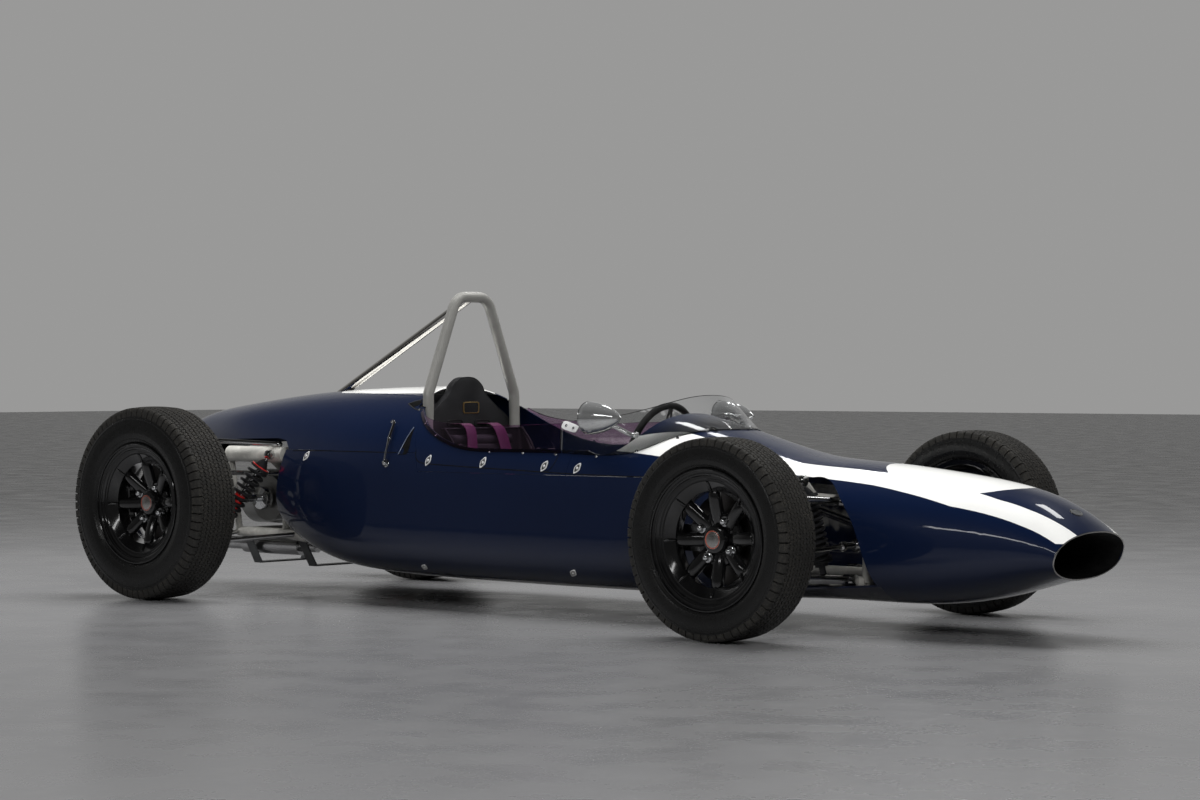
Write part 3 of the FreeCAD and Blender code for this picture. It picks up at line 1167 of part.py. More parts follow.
def engine_block():
    """The engine as one plain block with a narrower head, on lugs to the upper rails."""
    half = size("engine_width") / 2
    length = size("engine_length")
    low = size("engine_floor")
    tall = size("engine_height")
    lug_x = ENGINE_FRONT_X - 0.5 * length
    lug = size("engine_lug_half_width")
    block = box(ENGINE_FRONT_X - length, ENGINE_FRONT_X, -half, half, low, low + 0.82 * tall)
    head = box(ENGINE_FRONT_X - 0.96 * length, ENGINE_FRONT_X - 0.04 * length, -0.62 * half, 0.62 * half,
               low, low + tall)
    lugs = box(lug_x - lug, lug_x + lug, -0.9 * FRAME_Y, 0.9 * FRAME_Y, RAIL_Z - 0.5 * RAIL,
               RAIL_Z + 0.5 * RAIL)
    return seated(fused([block, head, lugs]))


def gearbox():
    """Rear gearbox: bell housing, differential drum across the car and tail casing."""
    radius = size("gearbox_radius")
    bell = size("bell_length")
    back = Vector(-1, 0, 0)
    front = Vector(GEARBOX_FRONT_X, 0, REAR_Z)
    tail = Vector(REAR_AXLE_X - size("tail_casing_reach"), 0, REAR_Z)
    axle = Vector(REAR_AXLE_X, 0, REAR_Z)
    reach = Vector(0, radius + size("side_cover_depth"), 0)
    return fused([Part.makeCone(1.25 * radius, radius, bell, front, back),
                  rod(front + back * (0.9 * bell), tail, 0.86 * radius),
                  Part.makeCone(0.86 * radius, 0.5 * radius, size("tail_cone_length"), tail, back),
                  rod(axle - reach, axle + reach, 0.72 * radius)])


def exhaust():
    """Silencer and tail pipe low on the right."""
    radius = size("exhaust_radius")
    tail_radius = 0.7 * radius
    z = REAR_FLOOR_Z - size("brace_tube_radius") - radius - size("fit_gap")
    front = Vector(REAR_AXLE_X + size("silencer_front"), -0.4 * FRAME_Y, z)
    back = Vector(REAR_AXLE_X - size("silencer_back"), -0.4 * FRAME_Y, z)
    tip = back - Vector(size("tail_pipe_length"), 0, 0)
    lead_start = front + Vector(size("lead_pipe_length"), 0, 0)
    shape = fused([rod(front, back, radius), rod(lead_start, front, 0.62 * radius),
                   rod(back, tip, tail_radius)])
    return shape.cut(rod(back, tip, tail_radius - size("pipe_wall")))


def under_hoops():
    """Two flat-strip hoops slung across below the gearbox."""
    thick = size("hoop_strip_thickness")
    low = size("hoop_strip_level")
    top = REAR_FLOOR_Z
    strips = []
    for x, half in ((REAR_AXLE_X - size("back_strip_setback"), REAR_END_Y + 0.3 * RAIL),
                    (REAR_AXLE_X + size("front_strip_reach"), REAR_FRAME_Y + 0.5 * RAIL)):
        flat = 0.62 * half
        outline = [(-half, top), (-half + thick, top), (-flat, low + thick), (flat, low + thick),
                   (half - thick, top), (half, top), (flat + thick, low), (-flat - thick, low)]
        face = Part.Face(Part.makePolygon([Vector(x, y, z) for y, z in outline + outline[:1]]))
        strips.append(seated(face.extrude(Vector(size("hoop_strip_width"), 0, 0))))
    return Part.makeCompound(strips)


# Front screen, right of centre to the left corner: foot and top edge as (along, across, height), the
# first two as shares of its length and half width behind and beside its front, heights as shares of
# its rise above the cockpit's edge
SCREEN_FOOT_SHARES = [(0.00, 0.00, 0.50), (0.06, 0.33, 0.46), (0.24, 0.65, 0.24), (0.43, 0.91, 0.02),
                      (0.72, 0.99, -0.08), (1.00, 1.00, -0.08)]
SCREEN_TOP_SHARES = [(0.29, 0.00, 1.00), (0.31, 0.30, 0.96), (0.40, 0.59, 0.82), (0.58, 0.79, 0.66),
                     (0.82, 0.85, 0.57), (1.06, 0.91, 0.52)]
SCREEN_STEPS = 25
# Side screens: height and inward lean of the top edge along the foot, as shares of their height
SIDE_SCREEN_SHARES = [(0.12, 0.10), (0.30, 0.10), (0.60, 0.10), (0.95, 0.05), (1.00, -0.05),
                      (1.05, -0.20), (1.10, -0.38)]


def screen_points(shares):
    """Points of one edge of the front screen, from the left corner round to the right."""
    front_x = FRONT_AXLE_X - size("screen_setback")
    sill = size("cockpit_sill_height")
    rise = size("screen_top") - sill
    left = [Vector(front_x - a * size("screen_length"), b * size("screen_half_width"), sill + c * rise)
            for a, b, c in reversed(shares)]
    return left + [Vector(point.x, -point.y, point.z) for point in reversed(left[:-1])]


def windscreen():
    """Clear wrap-round screen leaning back from the scuttle, its foot on the body's skin."""
    gap = size("screen_foot_gap")
    feet, tops = [smooth_edge(screen_points(shares)).toShape().discretize(SCREEN_STEPS)
                  for shares in (SCREEN_FOOT_SHARES, SCREEN_TOP_SHARES)]
    feet = [stood_off(outer_body, point, gap) for point in feet]
    outward = [way for _, way in feet]
    return ribbon([point for point, _ in feet], tops, outward, size("screen_thickness"))


def side_screen():
    """Left tinted sheet on the cockpit's edge, from the rear corner to the front screen."""
    lap = size("screen_lap")
    tall = size("side_screen_height")
    front_x = screen_points(SCREEN_FOOT_SHARES)[0].x - size("screen_thickness")
    foot_line = cockpit_back_sweep()
    last, sill = foot_line[-1]
    foot_line += [(last + (front_x - last) * share, sill) for share in (0.35, 0.7, 1)]
    base, top, outward = [], [], []
    for (x, z), (share, lean) in zip(foot_line, SIDE_SCREEN_SHARES):
        aim = Vector(x, skin_y(x, z - lap) + lap, z - lap)
        foot, way = stood_off(outer_body, aim, size("screen_foot_gap"))
        base.append(foot)
        top.append(foot + Vector(lean * tall, -0.4 * share * tall, share * tall))
        outward.append(way)
    return ribbon(base, top, outward, size("screen_thickness"))


# Place each sub-part


def place_body_and_frame():
    """Panels, frame, roll hoop and brace."""
    side_shape = side_panel()
    feature("nose_cone", nose_panel())
    feature("cockpit_surround", surround_panels())
    feature("engine_cover", cover_panel())
    feature("side_panel_left", side_shape)
    feature("side_panel_right", mirrored(side_shape))
    feature("undertray", tray_panel())
    feature("chassis_frame", chassis_frame())
    feature("roll_hoop", seated(roll_hoop()))
    feature("roll_hoop_brace", seated(hoop_brace(roll_hoop(size("fit_gap")))))


def place_wheels():
    """Tyre, wheel and hub of each corner, with the front knuckles."""
    for side, name in ((1, "left"), (-1, "right")):
        for end in WHEEL_SETS:
            tyre(end, side, name)
            rim(end, side, name)
            hub(end, side, name)
        knuckle = front_knuckle()
        feature(f"front_knuckle_{name}", knuckle if side > 0 else mirrored(knuckle))


def place_suspension():
    """Wishbones, links, uprights and spring units."""
    arm = size("arm_radius")
    spread = size("front_pivot_spread")
    ball_reach = KINGPIN_WAY * (size("knuckle_neck") - 1.5 * arm - size("fit_gap"))
    rise = Vector(0, 0, 0.6 * arm)
    lower_pivots = [beside_rail(0, FRONT_AXLE_X + reach * spread, 1.5 * arm) + rise for reach in (0.8, -1)]
    upper_pivots = [beside_rail(1, FRONT_AXLE_X + reach * spread, 1.5 * arm) for reach in (0.6, -0.6)]
    feature("front_lower_wishbones", pair(wishbone(LOWER_JOINT + ball_reach, lower_pivots, arm)))
    feature("front_upper_wishbones", pair(wishbone(UPPER_JOINT - ball_reach, upper_pivots, arm)))
    feature("rear_uprights", pair(rear_upright()))
    feature("rear_links", pair(rear_link_set()))
    feature("front_coilovers", pair(seated(front_coilover())))
    feature("rear_coilovers", pair(seated(rear_coilover())))


def place_rest():
    """Steering, driver's place, screens, mirrors, latches, power unit and tail."""
    screen_shape = windscreen()
    steering_wheel()
    for label, shape in (
            ("steering_rack_housing", rack_housing()), ("steering_rack", rack()),
            ("steering_column", steering_column()), ("seat", seat()), ("headrest_panel", headrest_panel()),
            ("dashboard", dashboard()), ("windscreen", screen_shape), ("side_screens", pair(side_screen())),
            ("mirrors", pair(mirror(screen_shape))), ("cover_latches", pair(latch())),
            ("radiator", radiator()),
            ("engine_block", engine_block()), ("gearbox", gearbox()), ("exhaust_pipe", exhaust()),
            ("under_hoops", under_hoops())):
        feature(label, shape)


def export_pieces():
    """Writes one file for each sub-part, once every object is found sound."""
    for thing in doc.Objects:
        if "Invalid" in thing.State or "Error" in thing.State:
            raise RuntimeError(f"{thing.Label} did not build: {thing.State}")
    for thing in doc.Objects:
        if thing.TypeId in ("Part::Feature", "PartDesign::Body"):
            if thing.Shape.isNull() or not thing.Shape.isValid():
                raise RuntimeError(f"{thing.Label} has no sound shape")
            thing.Shape.exportStep(f"parts/{thing.Label}.step")


place_body_and_frame()
place_wheels()
place_suspension()
place_rest()
doc.recompute()
export_pieces()
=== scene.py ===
"""Looks of the open wheel racing car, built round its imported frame.

Metres, +X to the nose, +Y to the car's left, +Z up. Places come from the frame's own nodes.
"""
import math

import bpy
from mathutils import Matrix, Vector
from mathutils.bvhtree import BVHTree


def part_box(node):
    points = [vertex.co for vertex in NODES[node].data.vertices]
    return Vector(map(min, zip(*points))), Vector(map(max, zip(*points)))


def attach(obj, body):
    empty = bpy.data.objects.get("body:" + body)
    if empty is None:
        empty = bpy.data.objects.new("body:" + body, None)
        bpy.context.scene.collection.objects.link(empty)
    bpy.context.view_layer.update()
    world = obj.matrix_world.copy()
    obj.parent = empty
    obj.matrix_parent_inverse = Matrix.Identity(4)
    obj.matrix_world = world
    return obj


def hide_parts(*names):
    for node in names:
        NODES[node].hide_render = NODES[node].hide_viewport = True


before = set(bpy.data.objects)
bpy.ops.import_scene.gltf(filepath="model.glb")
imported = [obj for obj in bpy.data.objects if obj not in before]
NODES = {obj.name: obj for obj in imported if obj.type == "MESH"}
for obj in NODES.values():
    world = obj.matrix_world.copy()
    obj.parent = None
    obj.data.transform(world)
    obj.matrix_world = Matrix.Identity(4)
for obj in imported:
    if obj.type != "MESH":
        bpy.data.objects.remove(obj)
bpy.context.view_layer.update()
scene = bpy.context.scene

SIDES = {"left": 1, "right": -1}
ENDS = ("front", "rear")
TURN = 2 * math.pi
MM = 0.001
AHEAD = Vector((1, 0, 0))
SIDEWAYS = Vector((0, 1, 0))
UP = Vector((0, 0, 1))


# Places and directions

def mm(points, lift=0.0):
    """Pairs of (radius, height) in millimetres brought to metres, with the heights counted from a lift."""
    return [(r * MM, lift + h * MM) for r, h in points]


def bowed(value, power):
    """A sine or cosine raised to a power with its sign kept, which makes a circle squarer or leaner."""
    return math.copysign(abs(value) ** power, value)


def turns(count, start=0.0):
    """Angles spread evenly round a circle."""
    return [start + TURN * number / count for number in range(count)]


def round_way(first, second, angle):
    """Unit vector at an angle from the first of two square ways towards the second."""
    return first * math.cos(angle) + second * math.sin(angle)


def wheel_way(angle):
    """Unit vector in the plane of a road wheel."""
    return round_way(AHEAD, UP, angle)


def squared(vector, way):
    """A vector brought square to a way, as a unit vector."""
    return (vector - way * vector.dot(way)).normalized()


def flipped(point, side):
    """A left-hand point, or its mirror image on the right."""
    return Vector((point.x, point.y * side, point.z))


def frame_of(axis):
    """An axis as a unit vector, with two more at right angles to it."""
    along = Vector(axis).normalized()
    helper = UP if abs(along.z) < 0.9 else AHEAD
    side = helper.cross(along).normalized()
    return along, side, along.cross(side)


def curve_through(points, steps):
    """Smooth run of points through a few given ones."""
    out = []
    last = len(points) - 1
    for i in range(last):
        a = points[max(i - 1, 0)]
        b = points[i]
        c = points[i + 1]
        d = points[min(i + 2, last)]
        for step in range(steps):
            t = step / steps
            out.append(0.5 * (2 * b + (c - a) * t + (2 * a - 5 * b + 4 * c - d) * t ** 2
                              + (3 * b - a - 3 * c + d) * t ** 3))
    return out + [points[-1]]


def profile_through(points, steps):
    """Smooth run of (radius, height) pairs through a few given ones."""
    flat = curve_through([Vector((r, h, 0)) for r, h in points], steps)
    return [(point.x, point.y) for point in flat]


# Mesh making

class Form:
    """Points, faces and material numbers of one piece, gathered from several forms."""

    def __init__(self):
        self.points = []
        self.faces = []
        self.finish = []

    def add(self, points, faces, finish):
        """Adds a form whose faces count its own points from zero."""
        base = len(self.points)
        self.points.extend(points)
        for face in faces:
            self.faces.append([base + number for number in face])
            self.finish.append(finish)

    def skin(self, rows, finish=0, ring=False, loop=False, caps=False):
        """Surface through rows of points; ring closes each row, loop joins the last row to the first."""
        count = len(rows[0])
        points = [point for row in rows for point in row]
        faces = []
        for r in range(len(rows) if loop else len(rows) - 1):
            below = r * count
            above = ((r + 1) % len(rows)) * count
            for c in range(count if ring else count - 1):
                after = (c + 1) % count
                faces.append((below + c, below + after, above + after, above + c))
        if caps:
            faces.append(tuple(reversed(range(count))))
            faces.append(tuple(range((len(rows) - 1) * count, len(rows) * count)))
        self.add(points, faces, finish)

    def turned(self, profile, centre, axis, steps=48, finish=0, closed=False):
        """Profile of (radius, place along the axis) points turned about the axis."""
        along, side, up = frame_of(axis)
        rows = []
        for angle in turns(steps):
            out = round_way(side, up, angle)
            rows.append([centre + along * h + out * r for r, h in profile])
        self.skin(rows, finish, ring=closed, loop=True)

    def tube(self, path, radius, steps=12, finish=0, loop=False):
        """Round tube along a path; radius is one number or one for each point."""
        count = len(path)
        radii = radius if isinstance(radius, list) else [radius] * count
        rows = []
        up = None
        for i, point in enumerate(path):
            before = path[i - 1] if (i or loop) else path[0]
            after = path[(i + 1) % count] if (i < count - 1 or loop) else path[-1]
            way = (after - before).normalized()
            if up is None:
                _, _, up = frame_of(way)
            up = squared(up, way)
            side = up.cross(way)
            rows.append([point + round_way(side, up, angle) * radii[i] for angle in turns(steps)])
        self.skin(rows, finish, ring=True, loop=loop, caps=not loop)

    def block(self, low, high):
        """Plain block between two corners."""
        x, y, z = zip(low, high)
        points = [Vector((x[i], y[j], z[k])) for i in (0, 1) for j in (0, 1) for k in (0, 1)]
        faces = [(0, 1, 3, 2), (4, 6, 7, 5), (0, 4, 5, 1), (2, 3, 7, 6), (0, 2, 6, 4), (1, 5, 7, 3)]
        self.add(points, faces, 0)

    def piece(self, name, body, materials, sharp, stands_for=()):
        """The finished piece, riding on its body; edges sharper than an angle in degrees stay crisp."""
        mesh = bpy.data.meshes.new(name)
        mesh.from_pydata(self.points, [], self.faces)
        for material in materials:
            mesh.materials.append(material)
        mesh.polygons.foreach_set("material_index", self.finish)
        mesh.update()
        mesh.shade_smooth()
        mesh.set_sharp_from_angle(angle=math.radians(sharp))
        thing = bpy.data.objects.new(name, mesh)
        scene.collection.objects.link(thing)
        if stands_for:
            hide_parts(*stands_for)
        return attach(thing, body)


def rounded(thing, width, segments):
    """Rounds a piece's sharp edges."""
    bevel = thing.modifiers.new("edges", "BEVEL")
    bevel.width = width
    bevel.segments = segments
    bevel.limit_method = "ANGLE"


# Materials

NOISE_ROUGHNESS = 0.55


class Finish:
    """A material with one Principled shader, and short ways to drive its sockets."""

    def __init__(self, name, **sockets):
        self.material = bpy.data.materials.new(name)
        self.material.use_nodes = True
        self.nodes = self.material.node_tree.nodes
        self.links = self.material.node_tree.links
        self.shader = self.nodes["Principled BSDF"]
        for socket, value in sockets.items():
            self.shader.inputs[socket.replace("_", " ")].default_value = value
        self.place = self.nodes.new("ShaderNodeTexCoord").outputs["Object"]

    def node(self, kind, **settings):
        """New node with some of its settings."""
        node = self.nodes.new(kind)
        for setting, value in settings.items():
            setattr(node, setting, value)
        return node

    def maths(self, operation, a, b=None):
        """Result of one sum on sockets or numbers."""
        node = self.node("ShaderNodeMath", operation=operation)
        for number, value in enumerate((a, b)):
            if value is None:
                continue
            if isinstance(value, (int, float)):
                node.inputs[number].default_value = value
            else:
                self.links.new(value, node.inputs[number])
        return node.outputs[0]

    def product(self, first, *others):
        """Product of several sockets, which is one only where all of them are."""
        for value in others:
            first = self.maths("MULTIPLY", first, value)
        return first

    def noise(self, scale, detail, stretch=None):
        """Noise over the piece's own coordinates."""
        node = self.node("ShaderNodeTexNoise")
        node.inputs["Scale"].default_value = scale
        node.inputs["Detail"].default_value = detail
        node.inputs["Roughness"].default_value = NOISE_ROUGHNESS
        place = self.place
        if stretch:
            mapping = self.node("ShaderNodeMapping")
            mapping.inputs["Scale"].default_value = stretch
            self.links.new(place, mapping.inputs["Vector"])
            place = mapping.outputs["Vector"]
        self.links.new(place, node.inputs["Vector"])
        return node.outputs["Fac"]

    def ranged(self, value, low, high, start=0.3, end=0.7):
        """A socket's value brought from start..end to low..high."""
        node = self.node("ShaderNodeMapRange")
        for name, number in (("From Min", start), ("From Max", end), ("To Min", low), ("To Max", high)):
            node.inputs[name].default_value = number
        self.links.new(value, node.inputs["Value"])
        return node.outputs["Result"]

    def mixed(self, share, first, second):
        """Colour between two colours or colour sockets."""
        node = self.node("ShaderNodeMix", data_type="RGBA")
        self.links.new(share, node.inputs["Factor"])
        for name, value in (("A", first), ("B", second)):
            socket = next(s for s in node.inputs if s.name == name and s.type == "RGBA")
            if isinstance(value, tuple):
                socket.default_value = (*value, 1)
            else:
                self.links.new(value, socket)
        return next(s for s in node.outputs if s.type == "RGBA")

    def drive(self, socket, value):
        """Feeds a shader socket."""
        self.links.new(value, self.shader.inputs[socket])

    def colour(self, first, second, scale, start=0.3, end=0.7):
        """Feeds the base colour, clouded from a first to a second colour."""
        cloud = self.ranged(self.noise(scale, 5), 0, 1, start, end)
        self.drive("Base Color", self.mixed(cloud, first, second))

    def roughness(self, middle, least, most, scale, detail=4, stretch=None):
        """Feeds the roughness, uneven between two shares of its middle value."""
        cloud = self.noise(scale, detail, stretch)
        self.drive("Roughness", self.ranged(cloud, middle * least, middle * most))

    def bump(self, value, strength, distance):
        """Adds relief from a socket."""
        node = self.node("ShaderNodeBump")
        node.inputs["Strength"].default_value = strength
        node.inputs["Distance"].default_value = distance
        self.links.new(value, node.inputs["Height"])
        before = self.shader.inputs["Normal"]
        if before.is_linked:
            self.links.new(before.links[0].from_socket, node.inputs["Normal"])
        self.links.new(node.outputs["Normal"], before)


NAVY = (0.0036, 0.0095, 0.035)
NAVY_DEEP = (0.0029, 0.0078, 0.029)
WHITE = (0.86, 0.86, 0.835)
WHITE_DULL = (0.81, 0.805, 0.78)

# Painted markings: places along the car and distances from its middle line
STRIPE_OUTER = ((0.30, 0.284), (0.501, 0.257), (0.73, 0.216), (0.949, 0.186), (1.20, 0.182), (1.45, 0.187),
                (1.53, 0.180), (1.65, 0.170), (1.72, 0.163), (1.80, 0.158))
STRIPE_INNER = ((0.30, 0.284), (0.42, 0.215), (0.517, 0.159), (0.70, 0.143), (0.856, 0.128), (1.10, 0.121),
                (1.45, 0.128), (1.57, 0.131), (1.66, 0.121), (1.72, 0.110), (1.80, 0.090))
STRIPE_START = 0.308
STRIPE_FLOOR = 0.27
DISC_CENTRE = 1.362
DISC_LENGTH = 0.219
DISC_WIDTH = 0.172
BAND_EDGE = ((-1.02, 0.0), (-1.01, 0.058), (-0.98, 0.092), (-0.90, 0.108), (-0.80, 0.126), (-0.70, 0.136),
             (-0.55, 0.144), (-0.40, 0.146))
BAND_START = -0.45
BAND_FLOOR = 0.55
CURVE_LOW = -1.8
CURVE_HIGH = 1.8


def edge_curve(finish, along, points):
    """Distance from the middle line by the place along the car, in straight runs between the points."""
    node = finish.node("ShaderNodeFloatCurve")
    curve = node.mapping.curves[0]
    span = CURVE_HIGH - CURVE_LOW
    shares = [((x - CURVE_LOW) / span, y) for x, y in points]
    curve.points[0].location = (0, shares[0][1])
    curve.points[1].location = (1, shares[-1][1])
    for share in shares:
        curve.points.new(*share)
    for point in curve.points:
        point.handle_type = "VECTOR"
    node.mapping.update()
    finish.links.new(finish.ranged(along, 0, 1, CURVE_LOW, CURVE_HIGH), node.inputs["Value"])
    return node.outputs["Value"]


def markings(finish):
    """Socket that is one on the white nose stripes, nose disc and spine band."""
    split = finish.node("ShaderNodeSeparateXYZ")
    finish.links.new(finish.place, split.inputs[0])
    x, y, z = split.outputs
    off = finish.maths("ABSOLUTE", y)
    high = finish.maths("GREATER_THAN", z, STRIPE_FLOOR)
    under = finish.maths("LESS_THAN", off, edge_curve(finish, x, STRIPE_OUTER))
    over = finish.maths("GREATER_THAN", off, edge_curve(finish, x, STRIPE_INNER))
    ahead = finish.maths("GREATER_THAN", x, STRIPE_START)
    stripe = finish.product(under, over, high, ahead)
    along = finish.maths("DIVIDE", finish.maths("SUBTRACT", x, DISC_CENTRE), DISC_LENGTH)
    across = finish.maths("DIVIDE", y, DISC_WIDTH)
    reach = finish.maths("ADD", finish.product(along, along), finish.product(across, across))
    disc = finish.product(finish.maths("LESS_THAN", reach, 1), high)
    inside = finish.maths("LESS_THAN", off, edge_curve(finish, x, BAND_EDGE))
    behind = finish.maths("LESS_THAN", x, BAND_START)
    raised = finish.maths("GREATER_THAN", z, BAND_FLOOR)
    band = finish.product(inside, behind, raised)
    return finish.maths("MAXIMUM", finish.maths("MAXIMUM", stripe, disc), band)


def body_paint():
    """Gloss navy with the white markings, both a little cloudy."""
    finish = Finish("body_paint", Roughness=0.42, Coat_Weight=0.85, Coat_Roughness=0.03,
                    Specular_IOR_Level=0.2)
    navy = finish.mixed(finish.ranged(finish.noise(1.6, 4), 0, 1), NAVY, NAVY_DEEP)
    chalk = finish.mixed(finish.ranged(finish.noise(9, 6), 0, 1, 0.45, 0.8), WHITE, WHITE_DULL)
    finish.drive("Base Color", finish.mixed(markings(finish), navy, chalk))
    finish.bump(finish.noise(260, 1), 0.012, 0.0006)
    finish.bump(finish.noise(3.2, 2), 0.03, 0.004)
    return finish.material


def plain_paint(name, colour, roughness=0.3, coat=0.8):
    """Sprayed paint in one colour, a little uneven and worn."""
    finish = Finish(name, Coat_Weight=coat, Coat_Roughness=0.08)
    worn = tuple(min(1, c * 1.5 + 0.0025) for c in colour)
    finish.colour(colour, worn, 24, 0.45, 0.75)
    finish.roughness(roughness, 0.8, 1.3, 40)
    finish.bump(finish.noise(420, 1), 0.05, 0.0004)
    return finish.material


def metal(name, colour, roughness, streaks=None, relief=0.04, scale=90, share=1.0):
    """Metal with fine streaks or grain and duller patches; a lower share gives a dull bloom."""
    finish = Finish(name, Metallic=share)
    finish.colour(colour, tuple(c * 0.88 for c in colour), 18)
    finish.roughness(roughness, 0.8, 1.2, scale, 5, streaks)
    finish.bump(finish.noise(scale * 4, 2, streaks), relief, 0.0005)
    return finish.material


def rubber(name, colour, dust, roughness, grain, gloss=0.42):
    """Tyre rubber with dust caught in its grain."""
    finish = Finish(name, Specular_IOR_Level=gloss)
    spots = finish.ranged(finish.noise(310, 3), 0, 1, 0.52, 0.68)
    patches = finish.ranged(finish.noise(11, 4), 0.1, 1)
    finish.drive("Base Color", finish.mixed(finish.product(spots, patches), colour, dust))
    finish.roughness(roughness, 0.85, 1.2, 60)
    finish.bump(finish.noise(700, 2), grain, 0.0006)
    return finish.material


def leather(name, colour, roughness=0.45):
    """Grained leather or vinyl."""
    finish = Finish(name, Specular_IOR_Level=0.4)
    cells = finish.node("ShaderNodeTexVoronoi", feature="DISTANCE_TO_EDGE")
    cells.inputs["Scale"].default_value = 420
    finish.links.new(finish.place, cells.inputs["Vector"])
    finish.colour(colour, tuple(min(1, c * 1.7 + 0.006) for c in colour), 15)
    finish.roughness(roughness, 0.85, 1.2, 30)
    finish.bump(finish.ranged(cells.outputs["Distance"], 0, 1, 0, 0.12), 0.22, 0.0005)
    return finish.material


def webbing(name, colour):
    """Woven strap."""
    finish = Finish(name, Roughness=0.7, Sheen_Weight=0.12)
    wave = finish.node("ShaderNodeTexWave", wave_type="BANDS", bands_direction="DIAGONAL")
    wave.inputs["Scale"].default_value = 330
    finish.links.new(finish.place, wave.inputs["Vector"])
    threads = finish.product(wave.outputs["Fac"], finish.ranged(finish.noise(160, 2), 0.5, 1))
    finish.drive("Base Color", finish.mixed(threads, tuple(c * 0.55 for c in colour), colour))
    finish.bump(wave.outputs["Fac"], 0.35, 0.0005)
    return finish.material


def clear(name, colour, roughness=0.012):
    """Clear or tinted plastic sheet."""
    finish = Finish(name, Transmission_Weight=1.0, IOR=1.46, Specular_IOR_Level=0.12,
                    Base_Color=(*colour, 1))
    finish.drive("Roughness", finish.ranged(finish.noise(22, 5), roughness, roughness * 4, 0.5, 0.9))
    return finish.material


PAINT = body_paint()
TRAY = plain_paint("tray_paint", (0.008, 0.010, 0.022), 0.34)
FRAME_GREY = plain_paint("frame_paint", (0.50, 0.49, 0.455), 0.36, 0.3)
GLOSS_BLACK = plain_paint("gloss_black", (0.0026, 0.0026, 0.0028), 0.14, 1.0)
SATIN_BLACK = plain_paint("satin_black", (0.010, 0.010, 0.011), 0.42, 0.3)
MATT_BLACK = plain_paint("matt_black", (0.004, 0.004, 0.004), 0.8, 0.0)
DARK_GREY = plain_paint("dark_grey", (0.075, 0.078, 0.080), 0.45, 0.2)
SIGNAL_RED = plain_paint("signal_red", (0.50, 0.012, 0.010), 0.28, 0.9)
DULL_RED = plain_paint("dull_red", (0.36, 0.075, 0.045), 0.35, 0.5)
HOOP = metal("hoop_steel", (0.46, 0.455, 0.43), 0.42, (1, 1, 12), share=0.5)
BARE_WHITE = plain_paint("bare_white", (0.62, 0.62, 0.62), 0.4, 0.4)
BRASS = metal("brass_edge", (0.86, 0.60, 0.24), 0.42)
SATIN = metal("satin_steel", (0.60, 0.59, 0.57), 0.30, (1, 1, 12))
POLISHED = metal("polished_steel", (0.74, 0.72, 0.68), 0.14, (12, 1, 1), 0.015)
CHROME = metal("chrome", (0.86, 0.87, 0.88), 0.045, None, 0.006)
PLATED = metal("plated_steel", (0.66, 0.66, 0.66), 0.20, (1, 9, 1), 0.02)
CAST = metal("cast_metal", (0.38, 0.38, 0.37), 0.46, None, 0.5, 120)
IRON = metal("disc_iron", (0.20, 0.19, 0.185), 0.40, (1, 10, 1), 0.05)
TREAD = rubber("tread_rubber", (0.020, 0.0195, 0.0185), (0.085, 0.077, 0.063), 0.62, 0.35)
WALL = rubber("wall_rubber", (0.0085, 0.0085, 0.0085), (0.016, 0.0157, 0.015), 0.28, 0.06, 0.45)
BLACK_LEATHER = leather("black_leather", (0.012, 0.012, 0.013))
GRIP_LEATHER = leather("grip_leather", (0.009, 0.009, 0.009), 0.36)
STRAP = webbing("plum_webbing", (0.105, 0.018, 0.070))
CLEAR = clear("clear_sheet", (0.975, 0.985, 0.99))
TINTED = clear("tinted_sheet", (0.72, 0.50, 0.72))
SHELL = metal("mirror_shell", (0.84, 0.85, 0.85), 0.09, None, 0.01, share=0.86)
MIRROR = metal("mirror_glass", (0.92, 0.93, 0.94), 0.02, None, 0.001)
# Light blue-grey paint for the notch's edge tube: a painted highlight on the navy panel's turned edge.
NOTCH_EDGE_HIGHLIGHT = plain_paint("notch_edge_highlight", (0.16, 0.19, 0.26), 0.25, 0.8)
THREAD = webbing("seam_thread", (0.10, 0.10, 0.10))

NODE_FINISHES = {
    PAINT: ("nose_cone", "cockpit_surround", "engine_cover", "side_panel_left", "side_panel_right"),
    TRAY: ("undertray",),
    FRAME_GREY: ("chassis_frame",),
    HOOP: ("roll_hoop",),
    POLISHED: ("roll_hoop_brace",),
    PLATED: ("front_knuckle_left", "front_knuckle_right", "front_lower_wishbones", "front_upper_wishbones",
             "rear_uprights", "rear_links", "steering_rack_housing", "steering_rack", "steering_column"),
    CLEAR: ("windscreen",),
    TINTED: ("side_screens",),
    SHELL: ("mirrors",),
    SATIN_BLACK: ("dashboard",),
    CAST: ("engine_block", "gearbox"),
    DARK_GREY: ("under_hoops",),
    PLATED.copy(): ("exhaust_pipe",),
}


def paint_nodes():
    """Gives every carried-over node its finish."""
    for material, names in NODE_FINISHES.items():
        for name in names:
            mesh = NODES[name].data
            mesh.materials.clear()
            mesh.materials.append(material)


# Where things are, read off the frame

FAR = 3.0
# Where the nearest skin is sought when a ray misses it: beside the car and above it
SKIN_GUESS = 0.28
CROWN_GUESS = 0.61


def wheel_place(end, name):
    """Centre, outward way, tyre radius and half width of one wheel."""
    low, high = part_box(f"{end}_tyre_{name}")
    centre = (low + high) / 2
    return centre, SIDEWAYS * SIDES[name], (high.z - low.z) / 2, (high.y - low.y) / 2


def rim_half(end, name):
    """Half of a wheel's width across its lips."""
    low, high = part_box(f"{end}_wheel_{name}")
    return (high.y - low.y) / 2


def body_skin():
    """Tree of the painted panels' faces, for finding the skin."""
    points = []
    faces = []
    for name in NODE_FINISHES[PAINT]:
        mesh = NODES[name].data
        base = len(points)
        points.extend(vertex.co.copy() for vertex in mesh.vertices)
        faces.extend([base + number for number in polygon.vertices] for polygon in mesh.polygons)
    return BVHTree.FromPolygons(points, faces)


